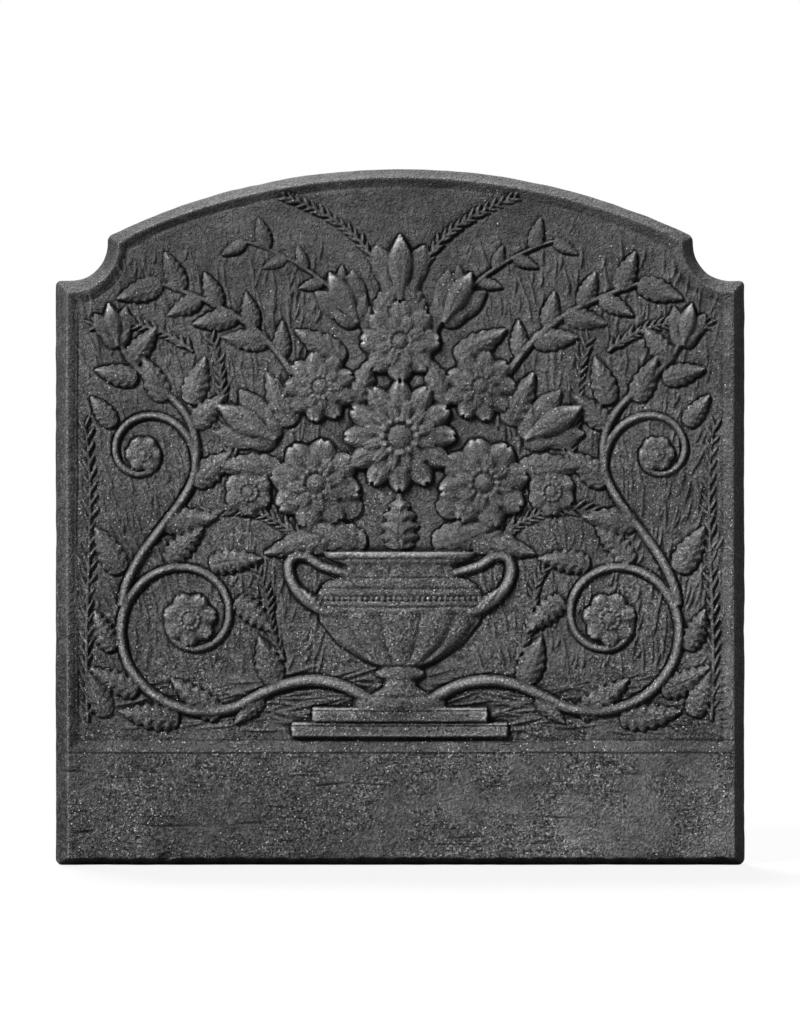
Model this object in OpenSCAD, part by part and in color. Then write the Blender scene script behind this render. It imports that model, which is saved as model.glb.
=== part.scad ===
// Free-standing cast-iron fireback: an arched plate with a framed relief panel,
// held upright on the hearth by two bracket legs bolted to bosses on its back.
// Millimetres. X runs to the right, Z up, and the decorated face looks along -Y.
// The origin is the middle of the plate's bottom face.

/* [Plate outline] */
// Width of the plate
plate_w = 500; // [440:1:700]
// Height of the plate at the crown of the arch
plate_h = 505; // [480:1:700]
// Height of the square shoulder at each side
shoulder_h = 424; // [400:1:430]
// Width of the flat on top of each shoulder
shoulder_flat = 11; // [9:0.5:16]
// Radius of the hollow between shoulder and arch
cove_r = 26.5; // [20:0.5:32]
// Rise of the arch from its springing to its crown
arch_rise = 49; // [40:1:60]
// Radius of the bottom corners and shoulder tips
corner_r = 5; // [2:0.5:7]

/* [Plate section] */
// Thickness at the crest of the frame
plate_t = 16; // [15:0.5:26]
// Thickness of the square edge behind the outer bevel
edge_t = 8; // [6:0.5:11]
// Width of the outer bevel
bevel_w = 8; // [5:0.5:12]
// Width of the bevel along the foot
foot_bevel_w = 5.5; // [4:0.5:12]
// Width of the flat crest of the frame
crest_w = 1.6; // [1:0.2:6]
// Width of the slope from the crest down to the panel
slope_w = 6.4; // [3:0.2:10]
// Depth of the panel below the crest
panel_d = 3; // [2.5:0.5:8]
// Height of the plain band under the panel
band_h = 82; // [60:1:86]

/* [Relief] */
// Height of the boldest relief above the panel
relief_h = 9.5; // [6:0.5:14]
// Height of the leaves above the panel
leaf_t = 4.5; // [2:0.25:6]
// Height of the scroll stems above the panel
stem_t = 5; // [2:0.25:7]
// Half the width of the scroll stems where they start
stem_w = 4.2; // [2.5:0.1:6]
// Half the width of the urn at its shoulder
urn_w = 62; // [50:1:70]
// Height of the urn from its foot to its lip
urn_h = 112; // [95:1:114]
// Half the width of the plinth under the urn
plinth_w = 78; // [66:1:90]
// Height of each of the plinth's two steps
plinth_step = 11; // [8:0.5:12]

/* [Rear legs] */
// Distance from the middle of the plate to each leg
leg_x = 150; // [90:1:200]
// Height of a leg's upright flange
leg_h = 205; // [190:1:260]
// Length of a leg's foot behind the bosses
leg_l = 145; // [110:1:180]
// Width of a leg
leg_w = 38; // [34:1:50]
// Thickness of a leg's flange and foot
leg_t = 8; // [5:0.5:12]
// Thickness of a leg's two side webs
web_t = 5; // [3:0.5:7]
// Height of the side webs on the flange
web_h = 172; // [120:1:185]
// Chamfer at the free ends of the flange and foot
leg_chamfer = 8; // [4:0.5:12]

/* [Fixings] */
// Height of the lower bosses
lower_bolt_z = 62; // [40:1:90]
// Height of the upper bosses
upper_bolt_z = 185; // [150:1:188]
// Radius of a boss
boss_r = 16; // [12:0.5:20]
// Height of a boss above the plate's back
boss_h = 10; // [6:0.5:16]
// Draft of a boss, as the growth of its radius at the root
boss_draft = 2; // [0:0.5:4]
// Radius of the bolt shank
bolt_r = 4; // [3:0.5:5]
// Length of the bolt shank
bolt_l = 20; // [18:1:21]
// Width of the bolt head across its flats
head_af = 13; // [12:0.5:17]
// Thickness of the bolt head
head_t = 5.3; // [4:0.1:7]
// Outer radius of the washer
washer_r = 8; // [7.5:0.5:11]
// Thickness of the washer
washer_t = 1.6; // [1:0.1:2.5]
// Radial clearance of the shank in its threaded boss
thread_gap = 0.05; // [0.02:0.01:0.1]
// Radial clearance of the shank in the washer
washer_gap = 0.2; // [0.1:0.05:0.4]
// Radial clearance of the shank in the leg
leg_gap = 0.5; // [0.3:0.1:1]
// Radius of the hearth screw hole in each foot
hearth_hole_r = 4.5; // [3:0.5:6]
// Distance from the hearth screw hole to the end of the foot
hearth_hole_end = 22; // [18:1:35]

/* [Hidden] */

// Where the pieces meet, along Y from front to back
back_y = edge_t / 2;
boss_y = back_y + boss_h;
flange_y = boss_y + leg_t;
washer_y = flange_y + washer_t;
bore_depth = bolt_l - leg_t - washer_t + 1.5;
hearth_hole_y = boss_y + leg_l - hearth_hole_end;

// The outline's fixed centres
cove_x = plate_w / 2 - shoulder_flat;
cove_y = shoulder_h + cove_r;
spring_x = cove_x - cove_r;
arch_r = (spring_x * spring_x + arch_rise * arch_rise) / (2 * arch_rise);
arch_y = plate_h - arch_r;
min_corner_r = 0.8;
corner_steps = 5;
cove_steps = 10;
arch_steps = 18;

// The panel
panel_inset = bevel_w + crest_w;
floor_inset = panel_inset + slope_w;
floor_z = plate_t - panel_d;
floor_y = band_h + slope_w;
sink = 1;              // how deep the relief reaches into the panel
iron = [0.29, 0.29, 0.3];
leg_iron = [0.22, 0.22, 0.22];
steel = [0.5, 0.5, 0.51];

// ---------------------------------------------------------------- outline

function arc(centre, r, from, to, steps) =
    [for (i = [0:steps]) centre + r * [cos(from + (to - from) * i / steps),
                                       sin(from + (to - from) * i / steps)]];

// Left crossing of the arch and the hollow, both drawn in by the inset
function crossing(inset) =
    let (ra = arch_r - inset, rc = cove_r + inset,
         away = [cove_x, cove_y - arch_y], d = norm(away), u = away / d,
         a = (ra * ra - rc * rc + d * d) / (2 * d), h = sqrt(max(ra * ra - a * a, 0)))
    [0, arch_y] + a * u + h * [-u[1], u[0]];

// Right half of the outline, drawn in by the inset and cut off below at foot
function half_outline(inset, foot) =
    let (side = plate_w / 2 - inset,
         r = max(corner_r - inset, min_corner_r),
         hollow = cove_r + inset,
         start_x = min(cove_x, side - r),
         start = -90 - asin((cove_x - start_x) / hollow),
         shoulder = cove_y - sqrt(hollow * hollow - pow(cove_x - start_x, 2)),
         wall_x = cove_x - hollow,
         wall_y = arch_y + sqrt(pow(arch_r - inset, 2) - wall_x * wall_x),
         walled = wall_y > cove_y + 1,
         tip = walled ? [wall_x, wall_y] : crossing(inset),
         end = walled ? -180 : atan2(tip[1] - cove_y, tip[0] - cove_x) - (tip[1] > cove_y ? 360 : 0) + 1,
         from = atan2(tip[1] - arch_y, tip[0]))
    concat(
        arc([side - r, foot + r], r, -90, 0, corner_steps),
        arc([side - r, shoulder - r], r, 0, 90, corner_steps - 1),
        arc([cove_x, cove_y], hollow, start, end, cove_steps),
        [tip],
        [for (i = [1:arch_steps - 1]) let (a = from + (90 - from) * i / arch_steps)
            [0, arch_y] + (arch_r - inset) * [cos(a), sin(a)]]
    );

function outline(inset, foot) =
    let (right = half_outline(inset, foot), n = len(right))
    concat([[0, foot]], right, [[0, plate_h - inset]],
           [for (i = [n - 1:-1:0]) [-right[i][0], right[i][1]]]);

// Closed solid through a stack of equal rings, each given as [points, height]
module ring_stack(rings) {
    n = len(rings[0][0]);
    points = [for (ring = rings, p = ring[0]) [p[0], p[1], ring[1]]];
    top = (len(rings) - 1) * n;
    polyhedron(points, concat(
        [for (i = [1:n - 2]) [0, i, i + 1]],
        [for (i = [1:n - 2]) [top, top + i + 1, top + i]],
        [for (k = [0:len(rings) - 2], i = [0:n - 1], half = [0, 1])
            let (a = k * n + i, a2 = k * n + (i + 1) % n, b = a + n, b2 = a2 + n)
            half == 0 ? [a, b, b2] : [a, b2, a2]]
    ));
}

module plate_shell() {
    ring_stack([
        [outline(0, 0), 0],
        [outline(0, 0), edge_t],
        [outline(bevel_w, foot_bevel_w), plate_t],
        [outline(panel_inset, band_h), plate_t],
        [outline(floor_inset, floor_y), floor_z]
    ]);
}

// ---------------------------------------------------------------- relief

ROOF = [[-1, 0.35], [0, 1], [1, 0.35]];
ROUND = [[-1, 0.35], [-0.5, 0.95], [0.5, 0.95], [1, 0.35]];
FULL = [for (a = [180:-22.5:0]) [cos(a), sin(a)]];

// Raised ridge along a path, with half its width and its height at each station
module ridge(path, widths, heights, section) {
    n = len(path);
    m = len(section) + 2;
    points = [for (i = [0:n - 1])
        let (t = path[min(i + 1, n - 1)] - path[max(i - 1, 0)],
             across = [t[1], -t[0]] / norm(t))
        each concat(
            [[-1, -sink]],
            [for (s = section) [s[0], s[1] * heights[i]]],
            [[1, -sink]]
        ) * [[widths[i] * across[0], widths[i] * across[1], 0], [0, 0, 1]]
            + [for (k = [1:m]) [path[i][0], path[i][1], 0]]
    ];
    last = (n - 1) * m;
    polyhedron(points, concat(
        [for (i = [1:m - 2]) [0, i, i + 1]],
        [for (i = [1:m - 2]) [last, last + i + 1, last + i]],
        [for (k = [0:n - 2], i = [0:m - 1], half = [0, 1])
            let (a = k * m + i, a2 = k * m + (i + 1) % m, b = a + m, b2 = a2 + m)
            half == 0 ? [a, b, b2] : [a, b2, a2]]
    ));
}

// Leaf along a bent line. Each row of LEAF gives the share of its length, half width and height
LEAF = [[0, 0.28, 0.5], [0.3, 0.96, 0.85], [0.66, 0.8, 1], [1, 0.07, 0.4]];

module leaf(root, angle, l, w, h, bend = 0) {
    u = [cos(angle), sin(angle)];
    v = [-u[1], u[0]];
    ridge(
        [for (row = LEAF) root + l * (row[0] * u + bend * row[0] * row[0] * v)],
        [for (row = LEAF) w * row[1]],
        [for (row = LEAF) h * row[2]],
        ROOF
    );
}

// Open flower in one solid: a ring of petals with valleys between them round a button.
// Each row of FLOWER gives the share of the radius, then the height in the valley, beside and on each petal
FLOWER = [[1, 0.1, 0.4, 0.52], [0.64, 0.16, 0.66, 0.84], [0.34, 0.3, 0.42, 0.46], [0.27, 0.86, 0.86, 0.86]];

module flower(centre, r, count, h, turn = 0, fine = true) {
    each_petal = fine ? 4 : 2;
    n = each_petal * count;
    phase = fine ? [0, 1, 2, 1] : [0, 2];
    edge = [0.7, 0.92, 1];
    function ring(row) = [for (i = [0:n - 1])
        let (a = turn + 360 * i / n, k = phase[i % each_petal],
             reach = r * row[0] * (row[0] > 0.5 ? edge[k] : 1))
        [centre[0] + reach * cos(a), centre[1] + reach * sin(a), h * row[1 + k]]];
    foot = [for (q = ring(FLOWER[0])) [q[0], q[1], -sink]];
    points = concat(foot, [for (row = FLOWER) each ring(row)],
                    [[centre[0], centre[1], -sink], [centre[0], centre[1], h]]);
    rings = len(FLOWER) + 1;
    below = rings * n;
    polyhedron(points, concat(
        [for (i = [0:n - 1]) [below, i, (i + 1) % n]],
        [for (i = [0:n - 1]) [below + 1, below - n + (i + 1) % n, below - n + i]],
        [for (k = [0:rings - 2], i = [0:n - 1], half = [0, 1])
            let (a = k * n + i, a2 = k * n + (i + 1) % n, b = a + n, b2 = a2 + n)
            half == 0 ? [a, b, b2] : [a, b2, a2]]
    ));
}

module tulip(root, angle, l, w, h) {
    for (k = [-1, 1]) leaf(root, angle + 16 * k, l * 0.92, w * 0.6, h * 0.8, 0.12 * k);
    leaf(root, angle, l, w * 0.62, h);
}

// Points of a spiral that shrinks evenly from one radius to the other
function volute(centre, r0, r1, from, turn, steps) =
    [for (i = [0:steps]) let (t = i / steps, a = from + turn * t)
        centre + r0 * pow(r1 / r0, t) * [cos(a), sin(a)]];

function curve(a, b, c, d, steps) =
    [for (i = [0:steps - 1]) let (t = i / steps, s = 1 - t)
        s * s * s * a + 3 * s * s * t * b + 3 * s * t * t * c + t * t * t * d];

module stem(path, w0, w1, h0, h1) {
    n = len(path) - 1;
    ridge(path, [for (i = [0:n]) w0 + (w1 - w0) * i / n], [for (i = [0:n]) h0 + (h1 - h0) * i / n], ROUND);
}

// The urn: half widths at shares of its height, in half-round relief
URN_PROFILE = [[0, 0.55], [0.055, 0.53], [0.06, 0.42], [0.13, 0.2], [0.18, 0.18], [0.2, 0.29], [0.235, 0.29],
    [0.25, 0.2], [0.3, 0.42], [0.4, 0.72], [0.55, 0.94], [0.7, 1], [0.79, 0.9], [0.85, 0.68], [0.92, 0.66],
    [0.96, 0.86], [1, 0.9]];

urn_foot_y = floor_y + 4 + 2 * plinth_step;
urn_lip_y = urn_foot_y + urn_h;

module urn() {
    ridge(
        [for (p = URN_PROFILE) [0, urn_foot_y + urn_h * p[0]]],
        [for (p = URN_PROFILE) urn_w * p[1]],
        [for (p = URN_PROFILE) relief_h * (0.5 + 0.5 * p[1])],
        FULL
    );
    for (side = [-1, 1]) mirror([side < 0 ? 1 : 0, 0, 0])
        stem(concat(
            curve([urn_w * 0.9, urn_foot_y + urn_h * 0.62], [urn_w * 1.3, urn_foot_y + urn_h * 0.66],
                  [urn_w * 1.45, urn_foot_y + urn_h * 1.02], [urn_w * 1.05, urn_foot_y + urn_h * 0.98], 8),
            [[urn_w * 1.05, urn_foot_y + urn_h * 0.98], [urn_w * 0.75, urn_foot_y + urn_h * 0.86]]
        ), 4, 3, 5.5, 5);
}

module plinth() {
    for (k = [0, 1])
        translate([-plinth_w + 15 * k, floor_y + 4 + plinth_step * k, -sink])
            cube([2 * (plinth_w - 15 * k), plinth_step, sink + 4.5 + 2 * k]);
}

module bouquet_middle() {
    flower([0, urn_lip_y + 84], 40, 12, 9);
    flower([0, urn_lip_y + 153], 28, 7, 7.5, 90);
    tulip([0, urn_lip_y + 184], 90, 44, 15, 6.5);
    leaf([0, urn_lip_y + 1], 90, 46, 13, 6);
}

module leaves(list, lift, share) {
    for (l = list) leaf([l[0], l[1] + lift], l[2], l[3], l[4], leaf_t * share, l[5]);
}

module bouquet_side() {
    flower([61, urn_lip_y + 50], 31, 7, 8.5, 12);
    flower([58, urn_lip_y + 120], 25, 9, 7);
    flower([110, urn_lip_y + 44], 17, 5, 5.5, 30, false);
    tulip([90, urn_lip_y + 82], 30, 46, 15, 6.5);
    tulip([31, urn_lip_y + 166], 60, 42, 13, 5.5);
    stem(concat(curve([78, 356], [100, 392], [132, 408], [168, 420], 6), [[168, 420]]),
         stem_w * 0.6, stem_w * 0.4, stem_t * 0.7, stem_t * 0.5);
    leaves([[24, 5, 18, 50, 12, 0.12], [46, 12, -10, 52, 11, -0.25], [30, 26, 48, 44, 12, 0],
            [86, 60, 8, 46, 10, -0.25], [78, 92, 62, 40, 11, -0.15], [34, 106, 108, 36, 10, 0.1],
            [40, 140, 28, 40, 10, 0.1], [16, 170, 118, 34, 9, 0]], urn_lip_y, 1);
    leaves([[88, 374, 100, 32, 9, -0.2], [100, 384, -6, 36, 9, 0.3], [116, 400, 96, 34, 9, -0.3],
            [132, 406, -20, 34, 9, 0.35], [150, 415, 84, 28, 8, -0.3], [166, 419, 12, 34, 9, 0.1]], 0, 0.8);
}

big_centre = [152, 178];
small_centre = [186, 298];
big_scroll = concat(
    curve([44, 124], [74, 150], [96, 126], [116, 115.6], 6),
    volute(big_centre, 72, 15, -120, 500, 28)
);
small_scroll = concat(
    curve([201, 188], [198, 228], [160, 250], [148.4, 284.3], 8),
    volute(small_centre, 40, 9, 200, -430, 22)
);
top_stem = concat(curve([148, 292], [142, 342], [190, 344], [204, 380], 8), [[204, 380]]);

module scroll_side() {
    stem(big_scroll, stem_w, stem_w * 0.55, stem_t, stem_t * 0.8);
    stem(small_scroll, stem_w * 0.8, stem_w * 0.5, stem_t * 0.85, stem_t * 0.7);
    stem(top_stem, stem_w * 0.7, stem_w * 0.5, stem_t * 0.75, stem_t * 0.6);
    flower(big_centre, 18, 6, 6.5, 15);
    flower(small_centre, 12, 5, 5, 0, false);
    tulip([204, 378], 76, 30, 11, 5);
    leaves([[90, 131, 76, 34, 10, -0.3], [100, 122, -50, 26, 8, 0.5], [130, 109, 26, 42, 11, 0.3],
            [160, 107, -8, 42, 11, 0.35], [190, 126, 8, 38, 11, 0.45], [207, 156, 50, 32, 10, 0.4],
            [212, 108, 66, 34, 10, 0.2], [168, 219, 118, 34, 10, 0.4], [138, 217, 152, 36, 10, 0.35],
            [119, 192, 204, 34, 10, 0.3], [201, 212, 58, 36, 10, 0.1], [172, 247, 176, 38, 10, -0.35],
            [150, 276, 132, 34, 10, 0.3], [150, 318, 140, 32, 9, -0.3], [170, 336, 56, 36, 10, 0.25],
            [207, 318, 60, 26, 8, -0.5], [152, 334, 112, 36, 10, -0.2], [190, 352, 0, 32, 9, 0.5],
            [196, 364, 132, 32, 9, -0.3]], 0, 0.9);
}

// The pattern, drawn for a panel of this half width and height, and fitted to the real one
DRAWN_HALF_W = 234;
DRAWN_H = 336.5;

module relief() {
    translate([0, floor_y, 0])
        scale([(plate_w / 2 - floor_inset) / DRAWN_HALF_W, (shoulder_h - floor_y) / DRAWN_H, 1])
            translate([0, -floor_y, 0]) {
                plinth();
                urn();
                bouquet_middle();
                for (side = [0, 1]) mirror([side, 0, 0]) {
                    bouquet_side();
                    scroll_side();
                }
            }
}

// The face of the casting: plate and relief in one skin, set to its exact height
module face() {
    resize([0, 0, floor_z + relief_h]) {
        plate_shell();
        translate([0, 0, floor_z]) relief();
    }
}

// ---------------------------------------------------------------- pieces

// Turns a piece drawn flat, face up, so that its face looks along -Y
module upright(y) {
    translate([0, y, 0]) rotate([90, 0, 0]) children();
}

module at_bosses() {
    for (side = [-1, 1], z = [lower_bolt_z, upper_bolt_z])
        translate([side * leg_x, 0, z]) children();
}

module cast_plate() {
    color(iron) difference() {
        union() {
            upright(back_y) face();
            at_bosses() translate([0, back_y - 1, 0]) rotate([-90, 0, 0])
                cylinder(h = boss_h + 1, r1 = boss_r + boss_draft, r2 = boss_r, $fn = 64);
        }
        at_bosses() translate([0, boss_y - bore_depth, 0]) rotate([-90, 0, 0])
            cylinder(h = bore_depth + 1, r = bolt_r + thread_gap, $fn = 48);
    }
}

module chamfered(w, l, t) {
    c = leg_chamfer;
    linear_extrude(t) polygon([[-w / 2, 0], [w / 2, 0], [w / 2, l - c], [w / 2 - c, l],
                               [-w / 2 + c, l], [-w / 2, l - c]]);
}

// Side web with a hollowed slope, drawn in Y and Z
module web() {
    reach = leg_l - leg_chamfer - leg_t;
    rise = web_h - leg_t;
    bow = 1.35;
    rotate([90, 0, 90]) linear_extrude(web_t) polygon(concat(
        [[boss_y + leg_t / 2, leg_t / 2], [boss_y + leg_t + reach, leg_t / 2]],
        [for (i = [0:10]) let (t = i / 10)
            [boss_y + leg_t + reach * pow(1 - t, bow), leg_t + rise * pow(t, bow)]],
        [[boss_y + leg_t / 2, web_h]]
    ));
}

module leg(side) {
    color(leg_iron) translate([side * leg_x, 0, 0]) difference() {
        union() {
            upright(flange_y) chamfered(leg_w, leg_h, leg_t);
            translate([0, boss_y, 0]) chamfered(leg_w, leg_l, leg_t);
            translate([-leg_w / 2, 0, 0]) web();
            translate([leg_w / 2 - web_t, 0, 0]) web();
        }
        for (z = [lower_bolt_z, upper_bolt_z]) translate([0, boss_y - 1, z]) rotate([-90, 0, 0])
            cylinder(h = leg_t + 2, r = bolt_r + leg_gap, $fn = 48);
        translate([0, hearth_hole_y, -1]) cylinder(h = leg_t + 2, r = hearth_hole_r, $fn = 48);
    }
}

module bolt() {
    head_r = head_af / 2 / cos(30);
    color(steel) rotate([-90, 0, 0]) {
        translate([0, 0, -bolt_l]) cylinder(h = bolt_l + head_t / 2, r = bolt_r, $fn = 48);
        intersection() {
            cylinder(h = head_t, r = head_r, $fn = 6);
            cylinder(h = head_t, r1 = head_r + head_t, r2 = head_af / 2 * 0.97, $fn = 48);
        }
    }
}

module washer() {
    color(steel) rotate([-90, 0, 0]) difference() {
        cylinder(h = washer_t, r = washer_r, $fn = 64);
        translate([0, 0, -1]) cylinder(h = washer_t + 2, r = bolt_r + washer_gap, $fn = 48);
    }
}

cast_plate();
for (side = [["left", -1], ["right", 1]]) {
    leg(side[1]);
    for (level = [["upper", upper_bolt_z], ["lower", lower_bolt_z]]) {
        translate([side[1] * leg_x, washer_y, level[1]]) bolt();
        translate([side[1] * leg_x, flange_y, level[1]]) washer();
    }
}
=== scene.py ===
import math
from functools import partial
import bpy
import numpy as np
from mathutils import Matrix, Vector
from mathutils.bvhtree import BVHTree
from mathutils.geometry import delaunay_2d_cdt


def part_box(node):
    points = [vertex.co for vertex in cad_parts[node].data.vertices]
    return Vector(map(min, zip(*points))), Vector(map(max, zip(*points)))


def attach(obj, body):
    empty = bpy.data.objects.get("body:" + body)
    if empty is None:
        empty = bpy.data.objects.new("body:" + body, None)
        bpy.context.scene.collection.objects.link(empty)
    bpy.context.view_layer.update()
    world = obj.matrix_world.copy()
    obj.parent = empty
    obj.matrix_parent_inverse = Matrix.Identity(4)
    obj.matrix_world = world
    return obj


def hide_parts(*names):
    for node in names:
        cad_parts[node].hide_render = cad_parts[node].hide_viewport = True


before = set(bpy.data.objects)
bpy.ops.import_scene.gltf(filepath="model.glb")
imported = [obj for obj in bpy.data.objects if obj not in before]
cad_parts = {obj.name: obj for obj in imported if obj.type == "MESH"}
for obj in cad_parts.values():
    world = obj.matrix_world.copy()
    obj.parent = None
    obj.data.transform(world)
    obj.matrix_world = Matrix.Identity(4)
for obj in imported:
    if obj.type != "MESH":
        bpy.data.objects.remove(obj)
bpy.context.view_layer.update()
plateLow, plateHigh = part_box("cast_plate")

mm = 0.001
castingSizes = {  # millimetres; y is upwards and z towards the viewer while the plate is on the drawing board
    "shoulderHeight": 424.0,
    "shoulderFlat": 11.0,
    "coveRadius": 26.5,
    "archRise": 49.0,
    "cornerRadius": 5.0,
    "tipRadius": 4.0,
    "crestThickness": 16.0,
    "edgeThickness": 8.0,
    "bevelWidths": (9.1, 8.9),  # left and right, which differ a little in the photograph
    "bevelSpread": 2.0,  # how much more they differ at the foot
    "footBevelWidth": 6.0,
    "footWaves": ((0.05, 5.1, 0), (0.05, 19.3, 2), (0.06, 2.3, 1)),  # share of that width, length, start
    "archBevelWidth": 6.9,
    "crestWidth": 1.2,
    "slopeWidths": (6.4, 7.3),
    "ledgeWidth": 8.7,  # slope from the panel down to the band
    "panelDepth": 3.0,
    "softRise": 0.28,  # share of that depth by which the panel curves up to its frame
    "bandHeight": 82.0,
    "bossHeight": 10.0,
    "bossRadius": 16.0,
    "bossDraft": 2.0,
    "bossX": 150.0,
    "bossHeights": (62.0, 185.0),
    "bossSides": 48,
    "grain": 0.7,  # spacing of the sculpted surface
    "backGrain": 2.2,
    "backRoughness": (0.12, 0.22),  # fine and broad
    "edgeWave": 0.6,  # how far the sand mould's edge wanders inwards
    "swells": ((0.16, 26, 1), (0.13, 9, 2)),  # height, spacing and seed of the mould's unevenness
    "lumps": (0.06, 2.4, 3),
    "trench": 1.35,  # sunk line round the motifs
    "groove": 0.6,  # sunk line where the panel meets the frame
    "secondGroove": 2.2,  # how far outside it a second line runs
    "dip": 1.6,  # how far the motifs' own face runs on under the ground beside them
    "dents": 0.5,  # marks of the tool on the motifs
    "scars": (  # flaws of the casting: from x, y to x, y, half width, depth
        (-233.6, 24.0, -221.0, 25.2, 1.2, 1.5), (-172.5, 5.9, -165.5, 8.0, 2.2, 4.2),
        (-181, 28.4, -145, 29.3, 0.7, 0.9), (-247, 68.8, -228, 68.2, 0.8, 0.9),
        (-65, 57.4, -38, 60.0, 0.8, 1.0), (-38, 60.0, -7, 58.4, 0.6, 0.6), (96, 36, 128, 34.5, 0.7, 0.7),
        (30, 20, 62, 21, 0.8, 0.7), (-120, 30.5, -98, 31.6, 0.9, 0.8), (150, 66, 176, 66.8, 0.6, 0.6),
        (-152, 71, -140, 76, 0.7, 0.5), (-96, 43.5, -76, 41.0, 0.8, 0.7),
    ),
    "triangles": 194000,
}
cs = castingSizes
halfWidth = (plateHigh.x - plateLow.x) / 2 / mm
topHeight = plateHigh.z / mm
coveX = halfWidth - cs["shoulderFlat"]
coveZ = cs["shoulderHeight"] + cs["coveRadius"]
springX = coveX - cs["coveRadius"]
archRadius = (springX ** 2 + cs["archRise"] ** 2) / (2 * cs["archRise"])
archZ = topHeight - archRadius
springZ = archZ + math.sqrt(archRadius ** 2 - springX ** 2)
backY = cs["edgeThickness"] / 2
faceLimit = backY - plateLow.y / mm - 0.08  # the face stays inside the solid's box
floorStart = cs["bandHeight"] + cs["ledgeWidth"]


def hexColour(text, alpha=1.0):
    parts = [int(text[i:i + 2], 16) / 255 for i in (0, 2, 4)]
    return [c / 12.92 if c <= 0.04045 else ((c + 0.055) / 1.055) ** 2.4 for c in parts] + [alpha]


def addNode(tree, kind, inputs=(), output=0, **settings):
    # inputs, in order or by name, are plain values or other nodes' outputs
    node = tree.nodes.new(kind if "Node" in kind else "ShaderNode" + kind)
    for key, value in settings.items():
        setattr(node, key, value)
    for key, value in inputs.items() if isinstance(inputs, dict) else enumerate(inputs):
        if isinstance(value, bpy.types.NodeSocket):
            tree.links.new(value, node.inputs[key])
        else:
            node.inputs[key].default_value = value
    return node.outputs if output is None else node.outputs[output]


def newTree(name, **sizes):
    tree = bpy.data.node_groups.new(name, "GeometryNodeTree")
    for label, kind in {"Geometry": "Geometry", **sizes}.items():
        tree.interface.new_socket(label, in_out="INPUT", socket_type="NodeSocket" + kind)
    tree.interface.new_socket("Geometry", in_out="OUTPUT", socket_type="NodeSocketGeometry")
    return tree, partial(addNode, tree), tree.nodes.new("NodeGroupInput").outputs


def finishTree(tree, *parts):
    whole = tree.nodes.new("GeometryNodeJoinGeometry")
    for part in parts:
        tree.links.new(part, whole.inputs[0])
    real = addNode(tree, "GeometryNodeRealizeInstances", {"Geometry": whole.outputs[0]})
    dressed = addNode(tree, "GeometryNodeSetMaterial", {"Geometry": real})
    tree.links.new(dressed, tree.nodes.new("NodeGroupOutput").inputs[0])
    return tree


def meshOf(name, points, faces, edges=()):
    mesh = bpy.data.meshes.new(name)
    mesh.from_pydata([tuple(p) for p in points], [tuple(e) for e in edges], [tuple(f) for f in faces])
    mesh.update()
    return mesh


def addObject(name, mesh):
    thing = bpy.data.objects.new(name, mesh)
    bpy.context.scene.collection.objects.link(thing)
    return thing


def plainMesh(thing):
    return bpy.data.meshes.new_from_object(thing.evaluated_get(bpy.context.evaluated_depsgraph_get()))


def meshParts(mesh):
    mesh.calc_loop_triangles()
    points = np.empty(len(mesh.vertices) * 3)
    mesh.vertices.foreach_get("co", points)
    corners = np.empty(len(mesh.loop_triangles) * 3, dtype=np.int32)
    mesh.loop_triangles.foreach_get("vertices", corners)
    return points.reshape(-1, 3), corners.reshape(-1, 3)


def grow(tree, base, **sizes):
    # runs a node tree on a mesh and hands back plain points and triangles
    thing = addObject("growing", base)
    modifier = thing.modifiers.new("grow", "NODES")
    modifier.node_group = tree
    for socket in tree.interface.items_tree:
        if socket.name in sizes:
            value = sizes[socket.name]
            modifier[socket.identifier] = float(value) if socket.socket_type == "NodeSocketFloat" else value
    parts = meshParts(plainMesh(thing))
    bpy.data.objects.remove(thing)
    return parts


def gridFaces(rows, columns):
    i, j = np.meshgrid(np.arange(rows - 1), np.arange(columns - 1), indexing="ij")
    a = (i * columns + j).ravel()
    return np.stack([a, a + 1, a + columns + 1, a + columns], 1)


def share(value):
    return np.clip(value, 0, 1)


patternSizes = {  # millimetres, on the same drawing board
    "reliefHeight": 9.5,
    "leafHeight": 4.6,
    "urnHalfWidth": 62.0,
    "urnHeight": 112.0,
    # half widths at shares of the urn's height, as they stand in the solid
    "urnProfile": (
        (0, .55), (.055, .53), (.06, .42), (.13, .2), (.18, .18), (.2, .29), (.235, .29), (.25, .2),
        (.3, .42), (.4, .72), (.55, .94), (.7, 1), (.79, .9), (.85, .68), (.92, .66), (.96, .86), (1, .9)),
    "urnLines": (0.645, 0.765, 0.835, 0.955, 0.265, 0.07),  # turned grooves, at shares of its height
    "plinthHalfWidth": 78.0,
    "plinthStep": 11.0,
    "plinthGap": 2.0,
    "handWander": 1.1,  # how far the carver strays from a mirror image
    "cutHeight": 1.9,
    "cutWidth": 2.3,
    "cutStray": 0.3,  # radians by which a cut strays from the fan
    "cuts": (  # gouge work: x and y ranges, cuts per square mm, fan's foot, length, share of the height
        ((-228, -60), (135, 440), 0.012, (-120.0, -40.0, 0.0), 24, 1.0),
        ((60, 228), (135, 440), 0.012, (130.0, -60.0, 0.0), 24, 1.0),
        ((-130, 130), (415, 495), 0.005, (0.0, 150.0, 0.0), 15, 0.5),
        ((-228, 228), (97, 134), 0.013, (-4000.0, 60.0, 0.0), 44, 1.1),
    ),
}
ps = patternSizes
urnFoot = floorStart + ps["plinthGap"] + 2 * ps["plinthStep"]
urnLip = urnFoot + ps["urnHeight"]


def leafGrid(along, across):
    # shares along a form and from its left edge to its right one
    return np.meshgrid(np.linspace(0, 1, along), np.linspace(-1, 1, across), indexing="ij")


def carvedForm(name, x, y, z):
    return meshOf(name, np.stack([x, y, z], -1).reshape(-1, 3), gridFaces(*x.shape))


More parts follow.
